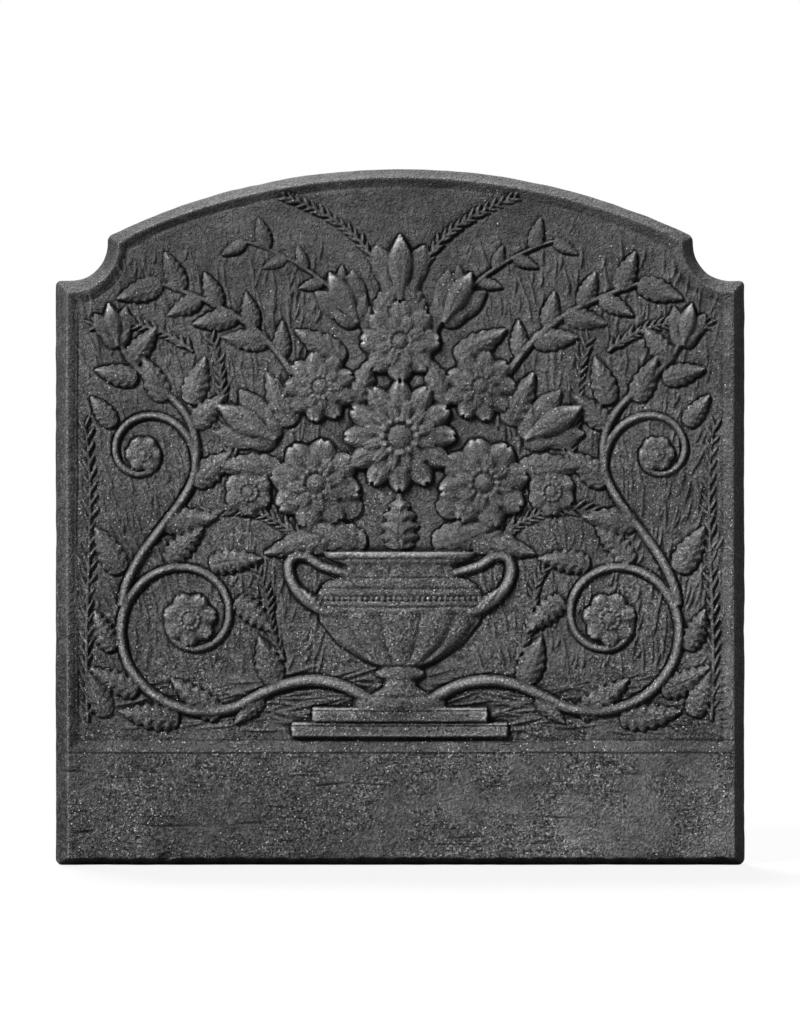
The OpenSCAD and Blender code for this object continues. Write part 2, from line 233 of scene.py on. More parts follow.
def carvedLeaf(name, along=26, across=14, lobes=5, veins=6, bend=0.0, notch=0.16):
    # a leaf one unit long with its root at the origin, sunk midrib and side veins
    s, t = leafGrid(along, across)
    outline = np.sin(np.pi * share(s * 0.93 + 0.05) ** 0.62) ** 0.85
    outline = outline * (1 - notch * (0.5 - 0.5 * np.cos(2 * np.pi * lobes * s)) * (s > 0.08)) + 0.02
    lift = 0.42 + 0.58 * np.sin(np.pi * (0.1 + 0.74 * s))
    body = 1 - 0.66 * np.abs(t) ** 1.35 - 0.32 * np.exp(-(t / 0.13) ** 2) * (1 - 0.5 * s)
    side = np.abs(np.sin(np.pi * (veins * s - 1.1 * np.abs(t))))
    return carvedForm(name, s + 0.05 * np.abs(t) * outline, t * outline * 0.5 + bend * s ** 2,
                      lift * (body - 0.3 * (1 - side) ** 2 * share(np.abs(t) * 3 - 0.4)))


def carvedPetal(name, along=16, across=12, point=0.0):
    s, t = leafGrid(along, across)
    outline = np.sin(np.pi * (0.07 + 0.86 * s ** 1.35)) ** (0.55 + 0.5 * point) + 0.02
    x = s * (1 - 0.07 * np.exp(-(t / 0.22) ** 2) * (1 - point)) - 0.05 * t ** 2 * s
    z = (0.3 + 0.7 * np.sin(np.pi * (0.1 + 0.6 * s))) * (1 - 0.68 * np.abs(t) ** 1.9)
    z = z - 0.26 * np.exp(-(t / 0.12) ** 2) * (1 - 0.6 * s) - 0.05 * np.abs(np.sin(4.5 * np.pi * t)) * s
    return carvedForm(name, x, t * outline * 0.5, z)


def carvedCut(name, along=8, across=5):
    # one stroke of the gouge, a unit long and gently curved
    s, t = leafGrid(along, across)
    broad = np.sin(np.pi * (0.03 + 0.94 * s ** 0.8)) ** 0.7
    return carvedForm(name, s, 0.5 * t * broad + 1.3 * (s - 0.5) ** 2, broad * (1 - t ** 2))


def vineTree():
    # a tapering stem along a path with leaves set to left and right in turn
    tree, add, size = newTree(
        "vine", Start="Float", End="Float", Lift="Float", Leaf="Object", Leaves="Int", Length="Float",
        Width="Float", Spread="Float", LeafLift="Float", Bare="Float", Seed="Int")
    path = add("GeometryNodeMeshToCurve", {"Mesh": size["Geometry"]})
    fine = add("GeometryNodeResampleCurve", {"Curve": path, "Count": 90})
    along = add("GeometryNodeSplineParameter", output="Factor")
    taper = add("MapRange", {"Value": along, "To Min": size["Start"], "To Max": size["End"]})
    profile = add("GeometryNodeCurvePrimitiveCircle", {"Resolution": 14, "Radius": 1.0})
    tube = add("GeometryNodeCurveToMesh", {"Curve": fine, "Profile Curve": profile, "Scale": taper})
    squash = add("CombineXYZ", [1.0, 1.0, size["Lift"]])
    stem = add("GeometryNodeTransform", {"Geometry": tube, "Scale": squash})

    knots = add("GeometryNodeResampleCurve", {"Curve": path, "Count": size["Leaves"]})
    points = add("GeometryNodeCurveToPoints", {"Curve": knots}, None, mode="EVALUATED")
    index = add("GeometryNodeInputIndex")
    parity = add("Math", [index, 2.0], operation="FLOORED_MODULO")
    sideways = add("MapRange", {"Value": parity, "To Min": -1.0, "To Max": 1.0})
    angle = add("Math", [sideways, size["Spread"]], operation="MULTIPLY")
    stray, vary = [
        add("FunctionNodeRandomValue", {2: least, 3: most, "ID": index, "Seed": size["Seed"]}, 1)
        for least, most in ((-0.16, 0.16), (0.82, 1.12))]
    spin = add("CombineXYZ", {"Z": add("Math", [angle, stray], operation="ADD")})
    tangent = add("FunctionNodeAlignRotationToVector", {"Vector": points["Tangent"]}, axis="X")
    turn = add("FunctionNodeEulerToRotation", [spin])
    facing = add("FunctionNodeRotateRotation", [tangent, turn], rotation_space="LOCAL")
    long, wide = [add("Math", [size[way], vary], operation="MULTIPLY") for way in ("Length", "Width")]
    leaves = add("GeometryNodeInstanceOnPoints", {
        "Points": points["Points"],
        "Selection": add("Math", [index, size["Bare"]], operation="GREATER_THAN"),
        "Instance": add("GeometryNodeObjectInfo", {"Object": size["Leaf"], "As Instance": True}, "Geometry"),
        "Rotation": facing,
        "Scale": add("CombineXYZ", [long, wide, size["LeafLift"]])})
    return finishTree(tree, stem, leaves)


def flowerTree():
    # rings of petals round a beaded button; each inner ring is smaller, higher and turned
    tree, add, size = newTree(
        "flower", Petal="Object", Count="Int", Radius="Float", Rings="Int", Height="Float", Button="Float",
        Turn="Float")
    start = add("GeometryNodeMeshLine", {"Count": size["Rings"], "Offset": (0, 0, 0)})
    # the ring is kept as an attribute before the points are doubled
    ringKept = add("GeometryNodeStoreNamedAttribute",
                   {"Geometry": start, "Name": "ring", "Value": add("GeometryNodeInputIndex")})
    doubled, copy = add("GeometryNodeDuplicateElements", {
        "Geometry": ringKept, "Amount": size["Count"]}, None, domain="POINT")
    petalKept = add("GeometryNodeStoreNamedAttribute", {"Geometry": doubled, "Name": "place", "Value": copy})
    ring, place = [add("GeometryNodeInputNamedAttribute", {"Name": label}) for label in ("ring", "place")]
    halfTurn = add("Math", [ring, 0.5], operation="MULTIPLY")
    shifted = add("Math", [place, halfTurn], operation="ADD")
    part = add("Math", [shifted, size["Count"]], operation="DIVIDE")
    angle = add("Math", [part, 2 * math.pi, size["Turn"]], operation="MULTIPLY_ADD")
    shrink = add("Math", [0.66, ring], operation="POWER")
    reach = add("Math", [size["Radius"], shrink], operation="MULTIPLY")
    slices = add("Math", [5.7, size["Count"]], operation="DIVIDE")
    broad = add("Math", [reach, slices], operation="MULTIPLY")
    rise = add("Math", [ring, 0.16, 0.74], operation="MULTIPLY_ADD")
    tall = add("Math", [rise, size["Height"]], operation="MULTIPLY")
    petals = add("GeometryNodeInstanceOnPoints", {
        "Points": petalKept,
        "Instance": add("GeometryNodeObjectInfo", {"Object": size["Petal"], "As Instance": True}, "Geometry"),
        "Rotation": add("FunctionNodeEulerToRotation", [add("CombineXYZ", {"Z": angle})]),
        "Scale": add("CombineXYZ", [reach, broad, tall])})

    dome = add("GeometryNodeMeshUVSphere", {"Segments": 24, "Rings": 14, "Radius": 1.0})
    domeSize = add("CombineXYZ", [size["Button"], size["Button"], size["Height"]])
    button = add("GeometryNodeTransform", {"Geometry": dome, "Scale": domeSize})
    rim = add("GeometryNodeMeshCircle", {"Vertices": 13, "Radius": size["Button"]})
    lifted = add("CombineXYZ", {"Z": add("Math", [size["Height"], 0.66], operation="MULTIPLY")})
    seeds = add("GeometryNodeInstanceOnPoints", {
        "Points": add("GeometryNodeSetPosition", {"Geometry": rim, "Offset": lifted}),
        "Instance": add("GeometryNodeMeshUVSphere", {"Segments": 10, "Rings": 6, "Radius": 0.24}),
        "Scale": size["Button"]})
    return finishTree(tree, petals, button, seeds)


def beadTree():
    tree, add, size = newTree("beads", Beads="Int", Radius="Float")
    path = add("GeometryNodeMeshToCurve", {"Mesh": size["Geometry"]})
    beads = add("GeometryNodeInstanceOnPoints", {
        "Points": add("GeometryNodeResampleCurve", {"Curve": path, "Count": size["Beads"]}),
        "Instance": add("GeometryNodeMeshUVSphere", {"Segments": 12, "Rings": 8, "Radius": 1.0}),
        "Scale": size["Radius"]})
    return finishTree(tree, beads)


def gougeTree():
    # short cuts scattered over a patch, each lying along the line from a fan's foot
    tree, add, size = newTree(
        "gouge", Density="Float", Fan="Vector", Cut="Object", Length="Float", Width="Float", Height="Float",
        Stray="Float", Seed="Int")
    spots = add("GeometryNodeDistributePointsOnFaces", {
        "Mesh": size["Geometry"], "Density": size["Density"], "Seed": size["Seed"]}, "Points")
    away = add("VectorMath", [add("GeometryNodeInputPosition"), size["Fan"]], operation="SUBTRACT")
    along = add("FunctionNodeAlignRotationToVector", {"Vector": away}, axis="X")
    least = add("Math", [size["Stray"], -1.0], operation="MULTIPLY")
    stray, vary = [
        add("FunctionNodeRandomValue", {2: low, 3: high, "Seed": size["Seed"]}, 1)
        for low, high in ((least, size["Stray"]), (0.45, 1.25))]
    turn = add("FunctionNodeEulerToRotation", [add("CombineXYZ", {"Z": stray})])
    long = add("Math", [size["Length"], vary], operation="MULTIPLY")
    cuts = add("GeometryNodeInstanceOnPoints", {
        "Points": spots,
        "Instance": add("GeometryNodeObjectInfo", {"Object": size["Cut"], "As Instance": True}, "Geometry"),
        "Rotation": add("FunctionNodeRotateRotation", [along, turn], rotation_space="LOCAL"),
        "Scale": add("CombineXYZ", [long, size["Width"], size["Height"]])})
    return finishTree(tree, cuts)


def curve(a, b, c, d, steps=24):
    t = np.linspace(0, 1, steps)[:, None]
    a, b, c, d = (np.array(p, float) for p in (a, b, c, d))
    return (1 - t) ** 3 * a + 3 * (1 - t) ** 2 * t * b + 3 * (1 - t) * t ** 2 * c + t ** 3 * d


def volute(centre, outer, inner, start, turn, steps=90):
    t = np.linspace(0, 1, steps)
    angle = np.radians(start + turn * t)
    radius = outer * (inner / outer) ** t
    return np.stack([centre[0] + radius * np.cos(angle), centre[1] + radius * np.sin(angle)], 1)


def pathMesh(points):
    return meshOf("path", [(x, y, 0.0) for x, y in points], [], [(i, i + 1) for i in range(len(points) - 1)])


def urnSurface(rows=240, columns=181):
    profile = np.array(ps["urnProfile"])
    heights = np.linspace(0, 1, rows)
    width = np.interp(heights, profile[:, 0], profile[:, 1])
    smooth = np.convolve(np.pad(width, 4, mode="edge"), np.ones(5) / 5, "same")[4:-4]
    v, u = np.meshgrid(heights, np.linspace(-1, 1, columns), indexing="ij")
    wide = np.repeat(smooth[:, None], columns, 1)
    swell = np.sqrt(share(1 - u ** 2))
    z = ps["reliefHeight"] * (0.5 + 0.5 * wide) * swell
    around = np.arcsin(np.clip(u, -1, 1))
    gadroon = np.abs(np.cos(around * 6.5)) ** 0.6
    bowl = share((v - 0.27) / 0.05) * share((0.63 - v) / 0.035)
    z = z - bowl * (1 - gadroon) * 2.6 * (0.3 + 0.7 * swell)
    flute = np.abs(np.cos(around * 9)) ** 0.8
    neck = share((v - 0.845) / 0.02) * share((0.93 - v) / 0.02)
    z = z - neck * (1 - flute) * 1.3
    z = z - 1.7 * share(1.9 - np.abs(v - 0.7) / 0.014)  # channel of the beads
    for line in ps["urnLines"]:
        z = z - 1.2 * np.exp(-((v - line) / 0.007) ** 2)
    points = np.stack([u * wide * ps["urnHalfWidth"], urnFoot + v * ps["urnHeight"], z], -1)
    return points.reshape(-1, 3), gridFaces(rows, columns)


def plinthSurface():
    points, faces = [], []
    high = ps["plinthStep"]
    # height, lift and overhang of each line of a moulded step
    steps = [(0, 0, 0), (0.6, 3.2, 0), (1.6, 4.5, 0), (high - 3.4, 4.5, 0.8), (high - 3.0, 3.5, 0),
             (high - 2.2, 3.5, 0), (high - 1.8, 4.7, 0.8), (high - 0.3, 4.4, 0), (high, 0, 0)]
    for k in (0, 1):
        wide, low = ps["plinthHalfWidth"] - 15 * k, floorStart + ps["plinthGap"] + high * k
        base = len(points)
        for y, z, over in steps:
            points += [(side * (wide + over), low + y, z + 2 * k * (z > 0)) for side in (-1, 1)]
        faces += [(a, a + 1, a + 3, a + 2) for a in range(base, base + 2 * len(steps) - 2, 2)]
    return points, faces


def joined(name, grown):
    points = np.concatenate([np.asarray(p, float) for p, f in grown])
    counts = np.cumsum([0] + [len(p) for p, f in grown])
    faces = [tuple(int(i) + int(start) for i in face) for (p, f), start in zip(grown, counts) for face in f]
    print(name + ":", len(points), "points", len(faces), "faces")
    return points, faces


def growPattern():
    # the right half of the relief, which the left one mirrors
    vine, flower, beads = vineTree(), flowerTree(), beadTree()
    shapes = [addObject(mesh.name, mesh) for mesh in (
        carvedLeaf("leafPattern"), carvedLeaf("acanthusPattern", 34, 18, lobes=6, bend=0.22, notch=0.34),
        carvedLeaf("bladePattern", 20, 10, lobes=1, veins=0, bend=0.12, notch=0.0),
        carvedPetal("petalPattern"), carvedPetal("pointedPattern", point=1.0))]
    leaf, acanthus, blade, petal, pointed = shapes
    grown = []

    def stem(points, start, end, leaves=2, length=30, width=16, spread=0.85, lift=ps["leafHeight"],
             shape=leaf, bare=9, seed=1, stemLift=1.15):
        grown.append(grow(
            vine, pathMesh(points), Start=start, End=end, Lift=stemLift, Leaf=shape, Leaves=leaves,
            Length=length, Width=width, Spread=spread, LeafLift=lift, Bare=bare, Seed=seed))

    def bloom(x, y, radius, count, height, rings=2, turn=0.0, button=0.27):
        points, faces = grow(
            flower, pathMesh([(0, 0), (1, 0)]), Petal=petal, Count=count, Radius=radius, Rings=rings,
            Height=height, Button=radius * button, Turn=math.radians(turn))
        grown.append((points + np.array([x, y, 0.0]), faces))

    def place(shape, x, y, angle, length, width, height, lift=0.0):
        points, faces = meshParts(shape.data)
        turn = math.radians(angle)
        a, b, c = (points * (length, width, height)).T
        grown.append((np.stack([x + a * math.cos(turn) - b * math.sin(turn),
                                y + a * math.sin(turn) + b * math.cos(turn), c + lift], 1), faces))

    def tulip(x, y, angle, length, width, height):
        for side in (-1, 1):
            place(pointed, x, y, angle + 24 * side, length * 0.92, width * 0.54, height * 0.46)
        place(pointed, x, y, angle, length, width * 0.48, height * 0.72, lift=height * 0.34)
        for side in (1, -1):
            place(blade, x, y, angle + 42 * side, length * 0.5, width * 0.4, height * 0.6)

    grown += [urnSurface(), plinthSurface()]
    w, high = ps["urnHalfWidth"], ps["urnHeight"]
    beadLine = [(w * u, urnFoot + high * 0.7) for u in np.linspace(-0.93, 0.93, 40)]
    points, faces = grow(beads, pathMesh(beadLine), Beads=29, Radius=1.8)
    lift = ps["reliefHeight"] * np.sqrt(share(1 - (points[:, 0] / w) ** 2)) - 1.7
    grown.append((points + np.stack([0 * lift, 0 * lift, lift], 1), faces))
    handle = curve((w * .7, urnFoot + high * .6), (w * 1.3, urnFoot + high * .62),
                   (w * 1.5, urnFoot + high * 1.04), (w * 1.08, urnFoot + high * .97))
    handleEnd = [(w * .92, urnFoot + high * .91), (w * .5, urnFoot + high * .84)]
    stem(np.concatenate([handle, handleEnd]), 4.3, 3.0, stemLift=1.3)
    place(acanthus, w * .86, urnFoot + high * .6, 40, 26, 11, 7)
    # the bouquet
    bloom(0, urnLip + 84, 41, 12, 9.0, button=0.3)
    bloom(0, urnLip + 153, 29, 8, 7.8, turn=90)
    tulip(0, urnLip + 182, 90, 48, 36, 6.8)
    place(acanthus, 0, urnLip + 1, 90, 48, 30, 6.4)
    bloom(61, urnLip + 50, 33, 8, 8.8, turn=12, button=0.3)
    bloom(58, urnLip + 120, 26, 9, 7.2, button=0.3)
    bloom(110, urnLip + 44, 17.5, 6, 5.8, rings=1, turn=30, button=0.36)
    tulip(90, urnLip + 82, 30, 48, 36, 6.6)
    tulip(31, urnLip + 166, 60, 42, 32, 5.6)
    for x, y, angle, length, width in (
            (24, 5, 18, 52, 24), (46, 12, -14, 54, 22), (30, 26, 48, 44, 22), (86, 60, 4, 48, 22),
            (78, 92, 64, 42, 22), (34, 106, 112, 38, 20), (40, 140, 30, 42, 20), (16, 170, 120, 34, 18)):
        place(leaf, x, urnLip + y, angle, length, width, ps["leafHeight"] + 0.5)
    stem(curve((78, 356), (100, 392), (132, 408), (172, 421)), 2.6, 1.4, leaves=9, length=31, width=16,
         spread=0.8, lift=3.7, bare=0.5, seed=4)
    stem(curve((20, 372), (26, 404), (70, 440), (112, 452)), 1.9, 1.0, leaves=9, length=22, width=11,
         spread=0.8, lift=2.4, bare=0.5, seed=9)
    # the scrolls
    big, small = (152, 178), (186, 298)
    rising = curve((20, 118), (60, 148), (94, 128), (116, 115.6))
    turning = curve((201, 188), (198, 228), (160, 250), (148.4, 284.3))
    stem(np.concatenate([rising, volute(big, 72, 15, -120, 500)]), 4.4, 2.2, stemLift=1.2)
    stem(np.concatenate([turning, volute(small, 40, 9, 200, -430)]), 3.5, 1.9)
    stem(curve((148, 292), (142, 342), (190, 344), (204, 382)), 3.0, 1.8)
    bloom(*big, 19.5, 7, 6.8, rings=1, turn=15, button=0.34)
    bloom(*small, 13, 6, 5.4, rings=1, button=0.36)
    tulip(204, 376, 78, 32, 24, 5.2)
    for x, y, angle, length, width, curl in (
            (90, 131, 70, 36, 20, 0), (100, 122, -44, 28, 15, 0), (130, 109, 30, 44, 22, 1),
            (160, 107, 0, 44, 22, 1), (190, 126, 20, 38, 20, 1), (207, 156, 58, 32, 18, 1),
            (212, 108, 68, 34, 18, 0), (168, 219, 128, 36, 20, 1), (138, 217, 166, 38, 20, 1),
            (119, 192, 214, 36, 20, 1), (201, 212, 60, 38, 20, 0), (172, 247, 172, 40, 20, 0),
            (150, 276, 140, 36, 20, 0), (150, 318, 136, 32, 18, 0), (170, 336, 64, 36, 18, 0),
            (207, 318, 52, 28, 15, 0), (152, 334, 108, 36, 19, 0), (190, 352, 14, 32, 17, 0),
            (196, 364, 128, 32, 17, 0)):
        place(acanthus if curl else leaf, x, y, angle, length, width, ps["leafHeight"])
    # ears of grass
    for ends, leaves, length in (
            (((226, 104), (230, 180), (218, 250), (228, 318)), 46, 11),
            (((66, 232), (90, 254), (112, 262), (136, 256)), 30, 11),
            (((84, 148), (100, 176), (92, 196), (104, 214)), 26, 9),
            (((120, 292), (134, 330), (124, 352), (136, 380)), 32, 10),
            (((12, 420), (20, 450), (44, 470), (84, 484)), 34, 9),
            (((150, 372), (170, 390), (196, 396), (222, 392)), 30, 9)):
        stem(curve(*ends), 1.3, 0.7, leaves=leaves, length=length, width=2.6, spread=0.55, lift=1.7,
             shape=blade, bare=0.5, seed=leaves, stemLift=1.3)
    for thing in shapes:
        bpy.data.objects.remove(thing)
    return joined("pattern", grown)


def growCuts():
    gouge = gougeTree()
    cut = addObject("cutPattern", carvedCut("cutPattern"))
    grown = []
    for seed, ((x0, x1), (y0, y1), density, fan, length, high) in enumerate(ps["cuts"], 5):
        patch = meshOf("patch", [(x0, y0, 0), (x1, y0, 0), (x1, y1, 0), (x0, y1, 0)], [(0, 1, 2, 3)])
        grown.append(grow(
            gouge, patch, Density=density, Fan=fan, Cut=cut, Length=length, Width=ps["cutWidth"],
            Height=ps["cutHeight"] * high, Stray=ps["cutStray"], Seed=seed))
    bpy.data.objects.remove(cut)
    return joined("cuts", grown)


def soften(field, spread):
    # gaussian blur of a field, spread in millimetres
    cells = spread / cs["grain"]
    margin = int(4 * cells) + 2
    padded = np.pad(field, margin, mode="edge")
    across = np.fft.fftfreq(padded.shape[0])[:, None]
    upward = np.fft.rfftfreq(padded.shape[1])[None, :]
    bell = np.exp(-2 * (np.pi * cells) ** 2 * (across ** 2 + upward ** 2))
    return np.fft.irfft2(np.fft.rfft2(padded) * bell, s=padded.shape)[margin:-margin, margin:-margin]


def sandField(shape, spacing, seed):
    field = soften(np.random.default_rng(seed).standard_normal(shape), spacing)
    return field / field.std()


def pressed(carving, sampleX, sampleZ, inside):
    # height of a carving under each spot
    tree = BVHTree.FromPolygons([Vector(p) for p in carving[0]], carving[1])
    height = np.zeros(sampleX.shape)
    above, down = 40.0, Vector((0, 0, -1))
    for i, j in zip(*np.nonzero(inside)):
        hit = tree.ray_cast(Vector((sampleX[i, j], sampleZ[i, j], above)), down, above)
        if hit[0] is not None:
            height[i, j] = hit[0].z
    return height


def edgeDistance(x, z):
    # distance inwards from the sides, shoulders, hollows and arch
    x = np.abs(x)
    arch = archRadius - np.hypot(x, z - archZ)
    hollow = np.hypot(x - coveX, z - coveZ) - cs["coveRadius"]
    shoulder = np.where(x > coveX, cs["shoulderHeight"] - z, np.where(z > coveZ, springX - x, hollow))
    return np.minimum(np.minimum(halfWidth - x, arch), shoulder)


def profileHeight(x, z):
    # the plate without its relief, measured forwards from the back, then the way in from its edge, the share
    # of the panel's depth, the way in from the panel's slope, and the share of the rim
    inwards = edgeDistance(x, z)
    arch = share((z - cs["shoulderHeight"] + 5) / 20)
    hand = share(0.5 + x / 300)  # 0 at the left, 1 at the right
    side, slope = [pair[0] + (pair[1] - pair[0]) * hand for pair in (cs["bevelWidths"], cs["slopeWidths"])]
    side = side + cs["bevelSpread"] * (0.6 - hand) * share(1 - z / 200)
    side = side + (cs["archBevelWidth"] - side) * share((z - coveZ + 2) / 10)
    waves = (deep * np.sin(x / long + start) for deep, long, start in cs["footWaves"])
    foot = cs["footBevelWidth"] * sum(waves, 1)
    bevel = np.minimum(np.minimum(inwards / side, z / foot), 1)
    across, up = inwards - side - cs["crestWidth"], z - cs["bandHeight"]
    sunk = share(np.minimum(across / slope, up / cs["ledgeWidth"]))
    sunk = sunk + arch * (np.sin(np.pi / 2 * sunk) - sunk)
    # under the arch and at the right the panel rises to its frame in a soft curve
    soft = cs["softRise"] * np.maximum(arch, hand ** 2) * np.exp(-np.clip(across - slope, 0, None) / 6)
    sunk = sunk - soft * (sunk > 0.99)
    rim = share((1 - np.minimum((inwards - 0.6) / side, (z - 0.6) / foot)) * 7)
    rise = cs["crestThickness"] - cs["edgeThickness"]
    height = cs["edgeThickness"] + rise * bevel - cs["panelDepth"] * sunk
    return height, inwards, sunk, np.minimum(across - slope, up - cs["ledgeWidth"]), rim


def grooveDepth(sand, x, z, inwards, floorEdge):
    # sunk lines round the panel, strong at the left and along the ledge, and one at the top of the band
    edge = floorEdge + 0.25 * sand(12, 7)
    groove = cs["groove"] * np.exp(-(edge / 0.75) ** 2) * np.clip(0.75 + 0.35 * sand(18, 8), 0.1, 1.3)
    second = np.exp(-((edge + cs["secondGroove"]) / 0.7) ** 2) * (z > floorStart)
    groove = groove + 0.6 * cs["groove"] * second
    cove = (z > cs["shoulderHeight"] - 14) & (np.abs(x) > springX - 8)
    leftwards = np.maximum(share(0.5 - x / 300), cove)
    groove = groove * np.where(z < floorStart + 3, 0.9, leftwards) * (1 - 0.8 * share((z - coveZ) / 6))
    bandEdge = z - cs["bandHeight"] + 0.2 + 0.2 * sand(15, 9)
    return groove + 0.4 * cs["groove"] * np.exp(-(bandEdge / 0.85) ** 2) * (inwards > cs["bevelWidths"][1])


def sculptFront():
    grain = cs["grain"]
    columns = np.arange(-math.floor(halfWidth / grain) - 1, math.floor(halfWidth / grain) + 2) * grain
    rows = np.arange(-1, math.floor(topHeight / grain) + 2) * grain
    x, z = np.meshgrid(columns, rows, indexing="ij")
    sand = partial(sandField, x.shape)
    wander = [ps["handWander"] * sand(34, seed) for seed in (11, 12)]
    plate, inwards, sunk, floorEdge, rim = profileHeight(x, z)
    inside = (np.abs(x) < halfWidth - 8) & (z > cs["bandHeight"] + 2)
    relief = pressed(growPattern(), np.abs(x + wander[0]), z + wander[1], inside)
    cuts = pressed(growCuts(), x + wander[0] * 2, z + wander[1] * 2, inside)
    print("pattern pressed")
    # the motifs stand in a shallow trench, so their lower edges read dark
    body = share(relief / 1.5)
    near = soften(body, 1.1)
    under = soften(np.roll(body, (2, -2), (0, 1)), 0.9)  # the corner below and to the right: a deeper trench and a painted shadow
    uneven = np.clip(0.8 + 0.45 * sand(7, 13), 0.15, 1.6)
    trench = cs["trench"] * share(2.4 * near + 1.2 * under) * uneven
    cuts = cuts * (0.55 + 0.45 * share(0.5 + 0.6 * sand(22, 6))) * (1 - share(2.4 * near))
    cuts = cuts * np.where(z > coveZ - 12, share((floorEdge - 2) / 9), 1)  # they stop short of the arch
    panel = share(sunk * 1.4)
    work = soften(cuts - trench, 0.3) * panel
    # mould work: broad swells, lumps of sand, grooves and scars
    swell = sum(height * sand(spacing, seed) for height, spacing, seed in cs["swells"])
    lumps = cs["lumps"][0] * sand(*cs["lumps"][1:])
    groove = grooveDepth(sand, x, z, inwards, floorEdge)
    plate = soften(plate, 0.5) + swell * share(inwards / 10)
    front = plate + work + lumps * (1 - share(relief)) - groove
    scarred = np.zeros(x.shape)
    for x0, z0, x1, z1, wide, deep in cs["scars"]:
        t = share(((x - x0) * (x1 - x0) + (z - z0) * (z1 - z0)) / ((x1 - x0) ** 2 + (z1 - z0) ** 2))
        off = np.hypot(x - x0 - t * (x1 - x0), z - z0 - t * (z1 - z0))
        scar = np.exp(-(off / wide) ** 2) * (0.4 + 0.6 * np.sin(np.pi * t))
        scarred = np.maximum(scarred, scar)
        front = front - deep * scar
    dip = cs["dip"]
    motifs = np.maximum(relief, 0.8 * soften(relief, 0.8)) - dip * (1 - share(relief / 0.6))
    dents = cs["dents"] * share(0.5 + 0.3 * sand(3.2, 14)) * body
    motifs = plate + (soften(motifs, 0.28) + dip) * panel - dip + 0.8 * lumps - dents
    whole = np.maximum(front, motifs)
    # painted shadow below and to the right of the motifs; with darkening in the scars it makes the soot mark
    corners = share(2.4 * under * uneven - 0.1) * (1 - share(relief / 1.4)) * panel
    return columns, rows, x, z, inwards, front, motifs, {
        "proud": whole - soften(whole, 2.6), "carved": share(relief / 4), "rim": rim,
        "soot": np.maximum(corners, scarred), "strip": share(5 * sunk * (1 - sunk)) * (1 - share(relief))}


def outlineLoop(step):
    # the plate's outline as points and inward normals, anticlockwise from the middle of the foot
    w, r, tip, shoulder = halfWidth, cs["cornerRadius"], cs["tipRadius"], cs["shoulderHeight"]

    def arc(cx, cz, radius, start, end):
        count = max(3, int(abs(math.radians(end - start)) * radius / step))
        sign = 1 if end > start else -1
        turns = [(math.cos(a), math.sin(a)) for a in np.radians(np.linspace(start, end, count + 1)[:-1])]
        return [(cx + radius * c, cz + radius * s, -sign * c, -sign * s) for c, s in turns]

    def line(x0, z0, x1, z1):
        length = math.hypot(x1 - x0, z1 - z0)
        count = max(1, round(length / step))
        nx, nz = -(z1 - z0) / length, (x1 - x0) / length
        return [(x0 + (x1 - x0) * k / count, z0 + (z1 - z0) * k / count, nx, nz) for k in range(count)]

    start = math.degrees(math.atan2(springZ - archZ, springX))
    right = (line(0, 0, w - r, 0) + arc(w - r, r, r, -90, 0) + line(w, r, w, shoulder - tip)
             + arc(w - tip, shoulder - tip, tip, 0, 90) + line(w - tip, shoulder, coveX, shoulder)
             + arc(coveX, coveZ, cs["coveRadius"], -90, -180) + line(springX, coveZ, springX, springZ)
             + arc(0, archZ, archRadius, start, 90))
    left = [(-x, z, -nx, nz) for x, z, nx, nz in reversed(right[1:])]
    loop = np.array([*right, (0, topHeight, 0, -1), *left])
    return loop[:, :2], loop[:, 2:]


def tipWear(x, z):
    return np.exp(-((np.abs(x) - springX) ** 2 + (z - springZ) ** 2) / 1.7 ** 2)


def wavyLoop(step):
    # the mould's edge wanders a little, always inwards, and hardly at all under the foot
    points, inward = outlineLoop(step)
    length = np.concatenate([[0], np.cumsum(np.hypot(*np.diff(points, axis=0).T))])
    total = length[-1] + step
    rng = np.random.default_rng(21)
    wave = 0
    for k in range(9, 150, 3):
        high = rng.uniform(0.4, 1) / (1 + k / 22)
        wave = wave + high * np.sin(2 * np.pi * k * length / total + rng.uniform(0, 6.28))
    wave = cs["edgeWave"] * np.clip(0.5 + 0.19 * wave, 0, 1.4)
    wave[points[:, 1] < 0.5] *= 0.35
    # the arch ends in a worn corner
    turn = np.exp(-(np.hypot(np.abs(points[:, 0]) - springX, points[:, 1] - springZ) / 2.5) ** 2)[:, None]
    worn = np.column_stack([np.sign(points[:, 0]) * -0.85, np.full(len(points), -0.53)])
    return points, inward * (1 - turn) + worn * turn, wave + tipWear(points[:, 0], points[:, 1])


def insideLoop(points, loop):
    # which points lie inside a closed loop, by counting crossings
    x, y = points[:, :1], points[:, 1:]
    ax, ay = loop[:, 0], loop[:, 1]
    bx, by = np.roll(ax, -1), np.roll(ay, -1)
    meets = ax + (y - ay) * (bx - ax) / np.where(by == ay, 1, by - ay)
    return (((ay > y) != (by > y)) & (x < meets)).sum(1) % 2 == 1


def fullCells(keep):
    return keep[:-1, :-1] & keep[1:, :-1] & keep[:-1, 1:] & keep[1:, 1:]


def cellGrid(cells):
    # corners, quads and rim edges of the marked cells of a grid
    used = np.zeros(np.add(cells.shape, 1), dtype=bool)
    for a, b in ((0, 0), (1, 0), (0, 1), (1, 1)):
        used[a:used.shape[0] - 1 + a, b:used.shape[1] - 1 + b] |= cells
    index = -np.ones(used.shape, dtype=int)
    index[used] = np.arange(used.sum())
    i, j = np.nonzero(cells)
    quads = np.stack([index[i, j], index[i + 1, j], index[i + 1, j + 1], index[i, j + 1]], 1)
    edges = np.concatenate([quads[:, [k, (k + 1) % 4]] for k in range(4)])
    keys = np.sort(edges, 1) @ (used.sum(), 1)
    _, where, counts = np.unique(keys, return_index=True, return_counts=True)
    return np.nonzero(used), quads, edges[where[counts == 1]]


